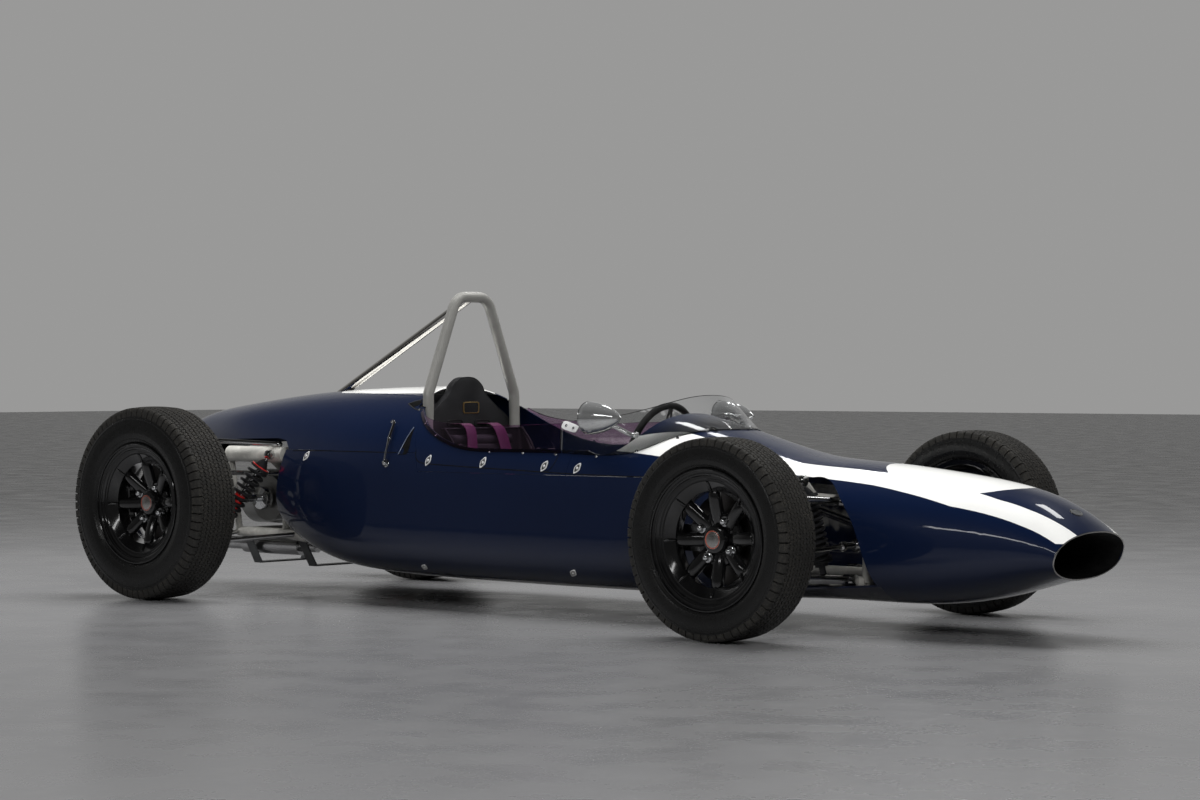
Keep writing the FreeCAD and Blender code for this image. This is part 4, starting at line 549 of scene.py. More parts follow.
SKIN = body_skin()


def outward(normal, way):
    """A face's normal turned to the side that way points to."""
    return normal if normal.dot(way) > 0 else -normal


def skin_beside(x, z, side):
    """Point on the outer skin and its outward way, found from beside the car."""
    place, normal, _, _ = SKIN.ray_cast(Vector((x, side * FAR, z)), SIDEWAYS * -side)
    if place is None:
        place, normal, _, _ = SKIN.find_nearest(Vector((x, side * SKIN_GUESS, z)))
    return place, outward(normal, SIDEWAYS * side)


def skin_above(x, y, floor=0.0):
    """Point on the outer skin above a floor height and its outward way, found from above the car."""
    place, normal, _, _ = SKIN.ray_cast(Vector((x, y, FAR)), -UP)
    if place is None or place.z < floor:
        place, normal, _, _ = SKIN.find_nearest(Vector((x, y, CROWN_GUESS)))
    return place, outward(normal, UP)


# Tyres

LUG_COUNTS = {"front": 62, "rear": 70}
ROW_PHASES = (0.0, 0.02, 0.15, 0.17, 0.26, 0.50, 0.52, 0.60, 0.62, 0.76)
NOTCH_ROWS = (1, 2)
SIPE_ROWS = (1, 2, 6, 7)
GROOVES = (-0.78, -0.56, -0.335, -0.11, 0.11, 0.335, 0.56, 0.78)
GROOVE_HALF = 0.018
GROOVE_WALL = 0.010
RIB_HALF = 0.112
ZIGZAG = 0.040
GROOVE_DEPTHS = {"front": 2.8 * MM, "rear": 3.6 * MM}
SIPE_SHARE = 0.6
BEAD_RADIUS = 0.192
# Crown: its half width as a share of the tyre's, and its fall towards the shoulders as a share of the wall
CROWN_HALF = 0.84
CROWN_FALL = 0.022
CROWN_EDGE = 0.8
CROWN_POWER = 2.4
NOTCH_DROP = 1.7
NOTCH_PULL = 1.6
# Wall above the bead: share of the wall's height and share of the half width
WALL_SHARES = ((0.14, 0.945), (0.30, 0.985), (0.48, 0.99), (0.62, 0.972), (0.73, 0.945))
WALL_RINGS = (0.10, 0.26, 0.66)
# Shoulder columns: share of the wall below the crown, share of the half width, depth share of the notch
SHOULDER = ((0.27, 0.945, 0), (0.262, 0.944, 1), (0.19, 0.932, 1), (0.12, 0.915, 1), (0.075, 0.893, 1),
            (0.045, 0.860, 1), (0.028, 0.80, 1))


def zigzag(phase):
    """Triangle wave between -1 and 1, twice in each lug."""
    return 4 * abs((2 * phase) % 1 - 0.5) - 1


def tread_columns():
    """Columns across the tread: place, zigzag share, whether in a groove, and shift round the tyre."""
    columns = []
    for number, groove in enumerate(GROOVES):
        columns.append((groove - RIB_HALF, 0.0, False, 0.25 * (number % 2)))
        for reach in (-GROOVE_HALF - GROOVE_WALL, -GROOVE_HALF, GROOVE_HALF, GROOVE_HALF + GROOVE_WALL):
            after = number + (1 if reach > 0 else 0)
            columns.append((groove + reach, 1.0, abs(reach) == GROOVE_HALF, 0.25 * (after % 2)))
    columns.append((GROOVES[-1] + RIB_HALF, 0.0, False, 0.25 * (len(GROOVES) % 2)))
    return columns


def wall_section(radius, half, lip):
    """Wall from the bead at the wheel's lip to the shoulder, with its rings, as (radius, height) pairs."""
    wall = radius - BEAD_RADIUS
    bead = mm([(177.5, -6.5), (190.5, -6)], lip) + [(BEAD_RADIUS + 0.05 * wall, lip - 1.5 * MM)]
    rest = [(BEAD_RADIUS + rise * wall, share * half) for rise, share in WALL_SHARES]
    raised = []
    for r, h in profile_through(bead + rest, 6):
        share = (r - BEAD_RADIUS) / wall
        ring = max(math.exp(-((share - at) / 0.012) ** 2) for at in WALL_RINGS)
        raised.append((r, h + 1.2 * MM * ring))
    return raised


def shoulder_points(number, radius, half, depth):
    """Turn, radius and height of one shoulder's points, drawn in where a notch crosses it."""
    points = []
    for drop, share, cut in SHOULDER:
        notch = depth * cut if number in NOTCH_ROWS else 0
        r = radius - drop * (radius - BEAD_RADIUS) - NOTCH_DROP * notch
        points.append((0, r, share * half - NOTCH_PULL * notch))
    return points


def tread_points(number, phase, radius, half, depth):
    """Turn, radius and height of the points across the tread."""
    points = []
    for place, sway, grooved, shift in tread_columns():
        share = place + sway * ZIGZAG * zigzag(phase + shift)
        r = radius - CROWN_FALL * (radius - BEAD_RADIUS) * abs(share / CROWN_EDGE) ** CROWN_POWER
        if grooved:
            r -= depth
        elif sway and number in SIPE_ROWS:
            r -= SIPE_SHARE * depth
        points.append((shift, r, share * CROWN_HALF * half))
    return points


def tread_rows(end, name):
    """Rows of points from shoulder to shoulder, right round the tyre."""
    centre, out, radius, half = wheel_place(end, name)
    depth = GROOVE_DEPTHS[end]
    lugs = LUG_COUNTS[end]
    lines = []
    for number, phase in enumerate(ROW_PHASES):
        edge = shoulder_points(number, radius, half, depth)
        across = tread_points(number, phase, radius, half, depth)
        lines.append([(turn, r, -h) for turn, r, h in edge] + across + edge[::-1])
    rows = []
    for lug in range(lugs):
        for phase, line in zip(ROW_PHASES, lines):
            rows.append([centre + out * h + wheel_way(TURN * (lug + phase + turn) / lugs) * r
                         for turn, r, h in line])
    return rows


def tyre(end, name):
    """Racing tyre: zigzag ribs with sipes, notched shoulders and walls with raised rings."""
    centre, out, radius, half = wheel_place(end, name)
    form = Form()
    form.skin(tread_rows(end, name), loop=True)
    section = wall_section(radius, half, rim_half(end, name))
    for side in (1, -1):
        form.turned([(r, h * side) for r, h in section], centre, out, 144, 1)
    form.piece(f"{end}_tyre_shape_{name}", f"wheel_{end}_{name}", [TREAD, WALL], 32,
               [f"{end}_tyre_{name}"])


# Wheels and hubs

HUB_FACE = 8 * MM
STUD_CIRCLE = 57.15 * MM
SPOKE_TURN = math.radians(2.5)
NUT_TURN = math.radians(14)
NUT_SEAT = HUB_FACE + 8 * MM
# Window cone: radius and depth below the lip, in mm
CONE_INNER = (129, -36)
CONE_OUTER = (154, -19)
# Sections turned about the axle, as (radius, height) pairs in mm from the wheel's middle plane
DISC_BELL = ((24, -9.5), (66, -9.5), (68, -12), (66, -16), (48, -18), (46, -27.5), (24, -27.5))
BRAKE_DISC = ((60, -28), (124, -28), (125, -29), (125, -37), (124, -38), (60, -38), (58, -36), (46, -34),
              (46, -28))
OUTER_JOINT = ((30, -38), (30, -62), (13, -64), (13, -134), (34, -136), (38, -140), (38, -158), (30, -160),
               (13, -161))
# The half shaft's inner cup, counted from its inner end
INNER_JOINT = ((13, 30), (36, 28), (38, 24), (38, 4), (34, 0), (2, 0))
# Spoke stations: distance from the axle, half width, height of the crest and depth of the back, in mm
SPOKE_STATIONS = ((40, 16, 13, 11), (52, 19, 15.5, 11), (66, 20, 17, 11), (88, 19.8, 17.5, 11),
                  (106, 19.4, 17, 11), (118, 18.6, 15.5, 10.5), (126, 17, 13, 10), (132, 13.5, 9.5, 8),
                  (136, 7, 4, 4))


def rim_profile(half):
    """Wheel from its outer lip over steps and window cone to the inner lip, as (radius, height) pairs."""
    face = [(190.5, -5.5), (192, -4.5), (192, -1.2), (190.8, 0), (188, 0), (186.2, -1.5), (185, -6),
            (183.5, -8.5), (177.5, -10.5), (174, -11.5), (172.5, -14), (170.5, -16), (164, -16.6),
            (162.2, -18.2), (158.5, -18.6), (CONE_OUTER[0] + 2, CONE_OUTER[1] + 0.4),
            (CONE_OUTER[0] - 1, CONE_OUTER[1] - 1.6), (CONE_INNER[0] + 2, CONE_INNER[1] + 1.4),
            (CONE_INNER[0], CONE_INNER[1] - 1)]
    window = [(CONE_INNER[0], 2), (CONE_INNER[0] + 3, -4), (156, -8)]
    back = [(160, 26), (171.5, 14), (174, 7), (187, 4), (190.5, 0), (192, 1.5), (191.5, 5), (179, 6),
            (176.8, 9), (176.5, 20), (164, 30)]
    well = [(164, -42), (176.5, -30), (176.8, -9), (179, -6.5)]
    return mm(face, half) + mm(window) + mm(back, -half) + mm(well, half)


def spoke(form, centre, out, turn, half):
    """One fat rounded finger from the hub to the window cone, with a rib that climbs the cone behind it."""
    radial = wheel_way(turn)
    across = out.cross(radial)
    rise = half + (CONE_INNER[1] - 13) * MM
    first = SPOKE_STATIONS[0][0]
    last = SPOKE_STATIONS[-1][0]
    rows = []
    for reach, wide, top, low in SPOKE_STATIONS:
        middle = centre + radial * reach * MM + out * (rise * (reach - first) / (last - first))
        row = []
        for angle in turns(24):
            sine = bowed(math.sin(angle), 0.9)
            row.append(middle + across * (wide * MM * bowed(math.cos(angle), 0.78))
                       + out * ((top if sine > 0 else low) * sine * MM))
        rows.append(row)
    form.skin(rows, ring=True, caps=True)
    foot, head = [centre + radial * r + out * h for r, h in mm((CONE_INNER, CONE_OUTER), half - 1 * MM)]
    form.tube([foot.lerp(head, share) for share in (-0.04, 0.1, 0.9, 1.05)],
              [3 * MM, 5 * MM, 5 * MM, 3.4 * MM], 14)


def wheel(end, name):
    """Gloss black wheel: stepped rim, window cone, eight fingers, a drilled hub and its stud bosses."""
    centre, out, _, _ = wheel_place(end, name)
    half = rim_half(end, name)
    form = Form()
    form.turned(rim_profile(half), centre, out, 112, closed=True)
    form.turned(mm([(24, -3), (39, -3), (40.5, -1), (43, 0), (66, 0), (70.5, -1.6), (74, -6)], HUB_FACE)
                + mm([(74, -9), (24, -9)]), centre, out, 72, closed=True)
    form.turned(mm([(24, -4), (38, -4), (37, 15), (35.5, 19), (31, 21), (24, 21.5)], HUB_FACE), centre, out,
                56, closed=True)
    for turn in turns(8, SPOKE_TURN):
        spoke(form, centre, out, turn, half)
    for at in stud_places(centre):
        form.turned([(17 * MM, 0)] + mm([(17, -2), (15.5, 0), (8, 0)], NUT_SEAT), at, out, 32)
    form.piece(f"{end}_wheel_shape_{name}", f"wheel_{end}_{name}", [GLOSS_BLACK], 30,
               [f"{end}_wheel_{name}"])


def stud_places(centre):
    """The four wheel studs, in the wheel's middle plane."""
    return [centre + wheel_way(turn) * STUD_CIRCLE for turn in turns(4, NUT_TURN + TURN / 8)]


def hub(end, name):
    """Brake disc on its bell, centre cap with a red ring, domed nuts, and a half shaft at the rear."""
    centre, out, _, _ = wheel_place(end, name)
    form = Form()
    form.turned(mm([(21.5, 20), (21.5, 25.2), (20, 26), (1, 26.3)], HUB_FACE), centre, out, 48, 0)
    form.turned(mm([(25.4, 20), (25.4, 24.4), (24.8, 25.2), (24.2, 25.4)], HUB_FACE), centre, out, 48, 0)
    form.turned(mm([(24.2, 25.4), (23, 25.6), (21.5, 24.8)], HUB_FACE), centre, out, 48, 1)
    crown = [(9.8 * math.cos(a), 9.2 + 7.6 * math.sin(a)) for a in (0, 0.3, 0.6, 0.9, 1.2, 1.5)]
    for at in stud_places(centre):
        form.turned(mm([(13.5, 0), (13.5, 1.6), (8, 2)], NUT_SEAT), at, out, 28, 2)
        form.turned(mm([(11.4, 1.6), (11.4, 8.5), (10.2, 9.6)], NUT_SEAT), at, out, 6, 2)
        form.turned(mm(crown, NUT_SEAT), at, out, 24, 2)
    form.turned(mm(DISC_BELL), centre, out, 56, 3)
    form.turned(mm(BRAKE_DISC), centre, out, 72, 3, closed=True)
    if end == "rear":
        low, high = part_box(f"{end}_hub_{name}")
        reach = max(centre.y - low.y, high.y - centre.y)
        form.turned(mm(OUTER_JOINT) + mm(INNER_JOINT, -reach), centre, out, 40, 2)
    form.piece(f"{end}_hub_shape_{name}", f"wheel_{end}_{name}", [SATIN, DULL_RED, CHROME, IRON], 34,
               [f"{end}_hub_{name}"])


# Spring units

# Lower eye, upper eye, turns of wire and the number of the collar's finish
COILOVERS = {
    "front": (Vector((1.0359, 0.1888, 0.1492)), Vector((0.990, 0.2276, 0.4189)), 11, 0),
    "rear": (Vector((-1.2510, 0.4093, 0.1978)), Vector((-1.1087, 0.2913, 0.4550)), 10, 1),
}
SPRING_START = 0.17
SPRING_END = 0.83
WIRE = 5 * MM
COIL_RADIUS = 28.5 * MM
COIL_STEPS = 22
SPRING_SEAT = ((12, -5), (32, -5), (33.5, -3), (33.5, 1), (27, 2), (12, 2))


def coilover(form, bottom, top, coils, collar):
    """Damper with eyes, rubber cone, adjusting rings and a wound black spring."""
    way = (top - bottom).normalized()
    length = (top - bottom).length
    start = SPRING_START * length
    end = SPRING_END * length
    for at in (bottom, top):
        form.turned(mm([(5, -11), (14, -11), (15, -9.5), (15, 9.5), (14, 11), (5, 11)]), at, AHEAD, 24, 2,
                    closed=True)
    form.tube([bottom, bottom + way * start * 0.9], 9 * MM, 20, collar)
    form.tube([bottom + way * start * 0.7, bottom + way * (0.50 * length)], 19 * MM, 24, collar)
    form.tube([bottom + way * (0.48 * length), top - way * 0.01], 6.5 * MM, 16, 2)
    cone = [(r * MM, share * length) for r, share in ((24, 0.82), (22, 0.86), (15, 0.90), (9, 0.93))]
    form.turned(cone, bottom, way, 32, 0)
    for share in (0.24, 0.31, 0.38, 0.45):
        at = bottom + way * (share * length)
        form.turned(mm([(19, -3), (20.4, -2.4), (20.4, 2.4), (19, 3)]), at, way, 24, 0)
    for place, sign, finish in ((start, 1, collar), (end, -1, 0)):
        seat = [(r, h * sign) for r, h in SPRING_SEAT]
        form.turned(mm(seat), bottom + way * place, way, 32, finish)
    form.turned(mm([(30, 0), (31.5, 0.4), (31.5, 2.2), (24, 2.8)]), bottom + way * (end + 5.2 * MM), way, 32,
                collar)
    _, side, up = frame_of(way)
    steps = coils * COIL_STEPS
    path = []
    for step in range(steps + 1):
        rise = start + 4 * MM + (end - start - 8 * MM) * step / steps
        path.append(bottom + way * rise + round_way(side, up, TURN * coils * step / steps) * COIL_RADIUS)
    form.tube(path, WIRE, 10, 0)


def spring_units():
    """Both pairs of spring units."""
    for end, (bottom, top, coils, collar) in COILOVERS.items():
        form = Form()
        for side in (1, -1):
            coilover(form, flipped(bottom, side), flipped(top, side), coils, collar)
        form.piece(f"{end}_spring_units", "chassis", [SATIN_BLACK, SIGNAL_RED, PLATED], 34,
                   [f"{end}_coilovers"])


# Fasteners on the skin, by their places along the car and above the ground

SCREW_PLACES = ((-0.490, 0.605), (-0.423, 0.564), (-0.355, 0.529), (-0.237, 0.500), (-0.111, 0.484),
                (0.022, 0.482), (0.147, 0.480), (0.293, 0.476), (0.419, 0.492), (0.514, 0.530))
PLATE_PLACES = ((-0.922, 0.455, 25), (-0.355, 0.452, 35), (-0.126, 0.450, 35), (0.116, 0.444, 30),
                (0.238, 0.440, 30), (-0.399, 0.124, 20), (0.214, 0.133, 20), (0.60, 0.395, 30))


def dome(form, place, way, radius, finish=0):
    """Low round screw head."""
    profile = [(radius * math.cos(a), radius * 0.55 * math.sin(a)) for a in (-0.2, 0, 0.35, 0.7, 1.05, 1.4)]
    form.turned(profile, place, way, 18, finish)


def screws():
    """Domed screws round the cockpit's edge and along the screens."""
    form = Form()
    for side in (1, -1):
        for x, z in SCREW_PLACES:
            place, way = skin_beside(x, z, side)
            dome(form, place, way, 5.2 * MM)
    form.piece("edge_screws", "chassis", [CHROME], 40)


def plate(form, place, way, long_way, halves, power, levels, steps=40):
    """Small plate with a superellipse outline; levels are (lift, share, finish), from foot to middle."""
    short_way = way.cross(long_way)
    rows = []
    for lift, share, _ in levels:
        row = []
        for angle in turns(steps):
            along = halves[0] * MM * share * bowed(math.cos(angle), power)
            across = halves[1] * MM * share * bowed(math.sin(angle), power)
            row.append(place + way * lift * MM + long_way * along + short_way * across)
        rows.append(row)
    for number, level in enumerate(levels[1:]):
        form.skin(rows[number:number + 2], level[2], ring=True)


def turn_fastener(form, place, way, tilt):
    """Lozenge plate with a domed quarter turn head in its hollow."""
    _, side, up = frame_of(way)
    levels = ((-1, 1, 0), (1.2, 1, 0), (1.9, 0.9, 0), (2, 0.72, 0), (1.5, 0.66, 1), (1.5, 0.01, 1))
    plate(form, place, way, round_way(side, up, math.radians(tilt + 30)), (19, 10.5), 1.45, levels, 32)
    dome(form, place + way * 1.2 * MM, way, 4.6 * MM, 0)


def fasteners():
    """Quarter turn fasteners that hold the side panels and the cover."""
    form = Form()
    for side in (1, -1):
        for x, z, tilt in PLATE_PLACES:
            place, way = skin_beside(x, z, side)
            turn_fastener(form, place, way, tilt if side < 0 else -tilt - 60)
    form.piece("panel_fasteners", "chassis", [BARE_WHITE, SATIN], 40)


# Panel seams

SURROUND_SEAM = ((-0.418, 0.484), (-0.409, 0.458), (-0.383, 0.4445), (-0.305, 0.4400), (-0.137, 0.4345),
                 (0.024, 0.4300), (0.112, 0.4275), (0.136, 0.4340), (0.150, 0.4520), (0.158, 0.4780))
NOSE_SEAM = ((0.120, 0.4265), (0.233, 0.4235), (0.356, 0.4210), (0.491, 0.4195), (0.640, 0.4150))
COVER_SEAM = ((-0.500, 0.4735), (-0.576, 0.4735), (-0.720, 0.4735), (-0.860, 0.4730), (-1.000, 0.4700))
SEAM_WIDTH = 1.6 * MM
SEAM_SECTION = ((-1.0, -0.2 * MM), (-0.8, 0.25 * MM), (0.8, 0.25 * MM), (1.0, -0.2 * MM))


def seams():
    """Matt black strips laid along the skin where the body panels meet: painted shade of the shut lines."""
    form = Form()
    for side in (1, -1):
        for points in (SURROUND_SEAM, NOSE_SEAM, COVER_SEAM):
            line = [skin_beside(point.x, point.y, side)
                    for point in curve_through([Vector((x, z, 0)) for x, z in points], 12)]
            rows = []
            for number, (place, way) in enumerate(line):
                before = line[max(number - 1, 0)][0]
                after = line[min(number + 1, len(line) - 1)][0]
                across = way.cross(after - before).normalized()
                rows.append([place + across * (SEAM_WIDTH * y) + way * lift for y, lift in SEAM_SECTION])
            form.skin(rows)
    # Black strips on the skin: painted shade of the gaps between panels.
    form.piece("panel_seams", "chassis", [MATT_BLACK], 60)


# Small trim on the skin

# Latch from its curled tip to its foot: places, and radii in mm
HOOK_LATCH = ((-0.566, 0.5600), (-0.557, 0.5640), (-0.549, 0.5560), (-0.544, 0.5360), (-0.541, 0.5140),
              (-0.539, 0.4900), (-0.537, 0.4640), (-0.535, 0.4400))
LATCH_RADII = (3.4, 4.6, 5.2, 5.4, 5.6, 3.2, 3.2, 3.4)
LATCH_STEPS = 6
LATCH_LIFT = 8 * MM
# Back and front of the notch at each height
NOTCH_EDGES = (((-0.463, 0.551), (-0.461, 0.551)), ((-0.470, 0.530), (-0.457, 0.532)),
               ((-0.477, 0.507), (-0.453, 0.509)), ((-0.483, 0.486), (-0.449, 0.490)),
               ((-0.487, 0.474), (-0.450, 0.476)), ((-0.489, 0.468), (-0.456, 0.468)))
# Trim round a leg of the roll hoop: its middle and its half length and width
HOOP_LEG = Vector((-0.492, 0.206, 0))
HOOP_TRIM = Vector((0.072, 0.027, 0))


def latch_radii():
    """Radius at each point of a latch's path, in straight runs between the given ones."""
    radii = []
    for first, second in zip(LATCH_RADII, LATCH_RADII[1:]):
        radii += [(first + (second - first) * step / LATCH_STEPS) * MM for step in range(LATCH_STEPS)]
    return radii + [LATCH_RADII[-1] * MM]


def latches():
    """Hook latches of the engine cover: thick handle with a curled tip, pin, thin rod and round foot."""
    form = Form()
    for side in (1, -1):
        line = []
        for x, z in HOOK_LATCH:
            place, way = skin_beside(x, z, side)
            line.append(place + way * LATCH_LIFT)
        form.tube(curve_through(line, LATCH_STEPS), latch_radii(), 16, 0)
        for number, radius in ((4, 7.4), (7, 8.4)):
            place, way = skin_beside(*HOOK_LATCH[number], side)
            ball = [(radius * math.cos(a), radius * 0.8 * math.sin(a))
                    for a in (-1.5, -1.1, -0.7, -0.3, 0, 0.3, 0.7, 1.1, 1.5)]
            form.turned(mm(ball, LATCH_LIFT), place, way, 24, 0)
            form.turned(mm([(4, -0.5), (3.4, 7)]), place, way, 16, 0)
        place, way = skin_beside(*HOOK_LATCH[-1], side)
        form.turned(mm([(12, -0.5), (12, 1), (11, 1.8), (3, 2)]), place, way, 28, 0)
    form.piece("cover_hook_latches", "chassis", [CHROME], 40, ["cover_latches"])


def cover_notch_shades():
    """Black patch on the engine cover's lower front corner, painted shade of its finger notch, with a
    painted highlight along its turned edge.
    """
    form = Form()
    for side in (1, -1):
        rows = []
        edge = []
        for back, front in NOTCH_EDGES:
            row = []
            for step in range(7):
                spot = Vector(back).lerp(Vector(front), step / 6)
                place, way = skin_beside(spot.x, spot.y, side)
                row.append(place + way * 0.5 * MM)
            rows.append(row)
            edge.append(row[0] + way * 0.6 * MM)
        # Matt black patch lying on the skin: painted shade of the finger notch.
        form.skin(rows, 0)
        # Thin light blue-grey tube along the notch's back edge: painted highlight on the turned edge.
        form.tube(curve_through(edge, 5), 1.1 * MM, 8, 1)
    form.piece("cover_notch_painted_shade", "chassis", [MATT_BLACK, NOTCH_EDGE_HIGHLIGHT], 50)


def hoop_trims_and_opening_shades():
    """Almond trim round each leg of the roll hoop: a bright edge, with a matt black patch inside it painted
    as the shade of the opening round the leg.
    """
    form = Form()
    for side in (1, -1):
        loops = []
        for share, lift in ((1.0, -0.4), (1.0, 1.4), (0.93, 1.6), (0.90, 0.5), (0.30, 0.7)):
            loop = []
            for angle in turns(48):
                along = math.cos(angle)
                across = math.copysign(1 - abs(along) ** 1.5, math.sin(angle))
                x = HOOP_LEG.x + HOOP_TRIM.x * share * along
                y = side * (HOOP_LEG.y + HOOP_TRIM.y * share * across)
                place, way = skin_above(x, y, 0.52)
                loop.append(place + way * lift * MM)
            loops.append(loop)
        form.skin(loops[:3], 0, ring=True)
        # Matt black patch inside the trim: painted shade of the opening round the leg.
        form.skin(loops[2:], 1, ring=True)
    form.piece("hoop_leg_trims", "chassis", [CHROME, MATT_BLACK], 40)


def screen_brackets():
    """Joint plate with two bolts between windscreen and side screen, and an oval cleat on the scuttle."""
    form = Form()
    for side in (1, -1):
        start = Vector((0.150, side * 0.281, 0.566))
        end = Vector((0.205, side * 0.279, 0.551))
        way = Vector((0.12, side * 0.90, 0.41)).normalized()
        along = squared((end - start).normalized(), way)
        middle = (start + end) / 2 + way * 1.5 * MM
        plate(form, middle, way, along, (30, 13), 0.5,
              ((-1.5, 1, 0), (1.6, 1, 0), (2.2, 0.94, 0), (2.3, 0.01, 0)))
        for share in (-14, 14):
            dome(form, middle + along * share * MM + way * 2 * MM, way, 4.6 * MM, 1)
        place, way = skin_above(0.5686, side * 0.0972)
        plate(form, place, way, squared(Vector((1, side * 0.4, 0)), way), (21, 11), 1,
              ((-1, 1, 1), (2.4, 1, 1), (3.2, 0.9, 1), (2.4, 0.7, 1), (1.2, 0.62, 2), (1.2, 0.01, 2)))
        dome(form, place + way * 1.2 * MM, way, 4 * MM, 1)
    form.piece("screen_joint_plates", "chassis", [BARE_WHITE, CHROME, MATT_BLACK], 40)


def mirror_glasses():
    """Flat silvered glass in a fine bezel on each bullet mirror."""
    form = Form()
    low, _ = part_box("mirrors")
    for side in (1, -1):
        centre = Vector((low.x, side * 0.310, 0.587))
        bezel = [(47, -0.6), (47.6, 0.4), (46.5, 1.6), (44.5, 1.6), (44, 0.6)]
        form.turned(mm(bezel), centre, -AHEAD, 56, 0)
        form.turned(mm([(44, 0.6), (20, 0.8), (0.3, 0.8)]), centre, -AHEAD, 56, 1)
    form.piece("mirror_glasses", "chassis", [CHROME, MIRROR], 40)


# Driver's place

# Head board's outline: share of the half width and of the height
PANEL_SHARES = ((1, 0), (1, 0.285), (0.68, 0.52), (0.43, 0.715), (0.33, 0.87), (0.18, 0.975), (0, 1))
SLOT_HALF = 0.062
SLOT_HEIGHT = 0.5600
# Seat in side view from its front lip to the top of its back, with its side height at each place
SEAT_LINE = ((0.018, 0.197, 0.030), (-0.130, 0.166, 0.075), (-0.290, 0.158, 0.125), (-0.372, 0.190, 0.150),
             (-0.418, 0.290, 0.110), (-0.438, 0.400, 0.085), (-0.447, 0.490, 0.055), (-0.449, 0.543, 0.018))
# Half of the seat's section: share of its half width and of its side height
SEAT_SECTION = ((1.0, 1.0), (1.0, 0.66), (0.998, 0.36), (0.985, 0.17), (0.955, 0.07), (0.90, 0.02),
                (0.80, 0.0), (0.55, 0.0), (0.28, 0.0))
SEAT_HALF = 0.178
CUSHION_FINE = 5
CUSHION_STEPS = 28
UNDERSIDE_STEP = 4
# Strap's section: share of its width and height in mm, with a rolled edge on both sides
STRAP_SECTION = ((-0.50, 0.0), (-0.495, 1.3), (-0.45, 1.5), (-0.42, 1.0), (0.0, 1.1), (0.42, 1.0),
                 (0.45, 1.5), (0.495, 1.3), (0.50, 0.0), (0.45, -1.2), (0.0, -1.0), (-0.45, -1.2))
STRAP_WIDTH = 46 * MM
BUCKLE = Vector((-0.235, 0, 0.197))
# Shoulder strap from its slot to the buckle: place along the car, distance from the middle, height
SHOULDER_STRAP = ((-0.500, SLOT_HALF, SLOT_HEIGHT - 2 * MM), (-0.472, SLOT_HALF, 0.559),
                  (-0.446, 0.064, 0.556), (-0.422, 0.068, 0.530), (-0.404, 0.080, 0.450),
                  (-0.392, 0.078, 0.370), (-0.366, 0.062, 0.280), (-0.318, 0.036, 0.214),
                  (-0.262, 0.012, 0.200))
# The other straps lie in the same way
LAP_STRAP = ((-0.330, 0.170, 0.235), (-0.318, 0.145, 0.222), (-0.290, 0.095, 0.204),
             (-0.262, 0.050, 0.198), (-0.240, 0.014, 0.199))
LEG_STRAP = ((-0.060, 0, 0.190), (-0.110, 0, 0.192), (-0.170, 0, 0.190), (-0.222, 0, 0.197))


def head_panel():
    """Padded black board behind the driver: rounded edge, blank brass-edged plate and two strap slots, each
    opening a flat matt black patch of painted shade.
    """
    low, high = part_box("headrest_panel")
    tall = high.z - low.z
    right = [Vector((0, share * high.y * 0.97, low.z + rise * tall)) for share, rise in PANEL_SHARES]
    outline = curve_through(right + [flipped(point, -1) for point in reversed(right[:-1])], 12)
    heart = UP * (low.z + 0.30 * tall)

    def scaled(share, x):
        """The outline drawn in to a share of its size, at a place along the car."""
        return [Vector((x, 0, 0)) + heart + (point - heart) * share for point in outline]

    levels = ((0.02, low.x), (0.985, low.x), (1.0, low.x + 3 * MM), (1.0, high.x - 6 * MM),
              (0.993, high.x - 2.5 * MM), (0.975, high.x - 0.3 * MM), (0.93, high.x + 1.0 * MM),
              (0.75, high.x + 2.4 * MM), (0.45, high.x + 3.4 * MM), (0.02, high.x + 3.6 * MM))
    form = Form()
    form.skin([scaled(share, x) for share, x in levels], ring=True, caps=True)
    form.tube(scaled(0.992, high.x - 1.5 * MM), 1.9 * MM, 8, 0, loop=True)
    board = form.piece("head_board", "chassis", [BLACK_LEATHER], 50, ["headrest_panel"])
    form = Form()
    face = high.x + 3 * MM
    plate(form, Vector((face, 0.010, 0.609)), AHEAD, SIDEWAYS, (37, 18), 0.25,
          ((-2, 1, 0), (1.6, 1, 0), (2, 0.97, 0), (2, 0.86, 0), (1.5, 0.85, 1), (1.5, 0.01, 1)), 56)
    for y in (-0.022, 0.042):
        for z in (0.596, 0.622):
            dome(form, Vector((face + 1.4 * MM, y, z)), AHEAD, 2.2 * MM, 0)
    for side in (1, -1):
        # Strap slot: satin black rim round a flat matt black middle, painted shade standing for the opening.
        plate(form, Vector((face - 1 * MM, side * SLOT_HALF, SLOT_HEIGHT)), AHEAD, SIDEWAYS, (37, 11), 0.4,
              ((-2, 1, 1), (3, 1, 1), (3.6, 0.95, 1), (3.4, 0.84, 1), (1.2, 0.78, 2), (1.2, 0.01, 2)), 56)
    form.piece("head_board_fittings", "chassis", [BRASS, SATIN_BLACK, MATT_BLACK], 35)


def seat_stations():
    """Points along the seat's middle line with the way square to it and the side height."""
    middle = curve_through([Vector((x, 0, z)) for x, z, _ in SEAT_LINE], 9)
    heights = curve_through([Vector((h, 0, 0)) for _, _, h in SEAT_LINE], 9)
    stations = []
    for number, point in enumerate(middle):
        before = middle[max(number - 1, 0)]
        after = middle[min(number + 1, len(middle) - 1)]
        stations.append((point, SIDEWAYS.cross((after - before).normalized()), heights[number].x))
    return stations


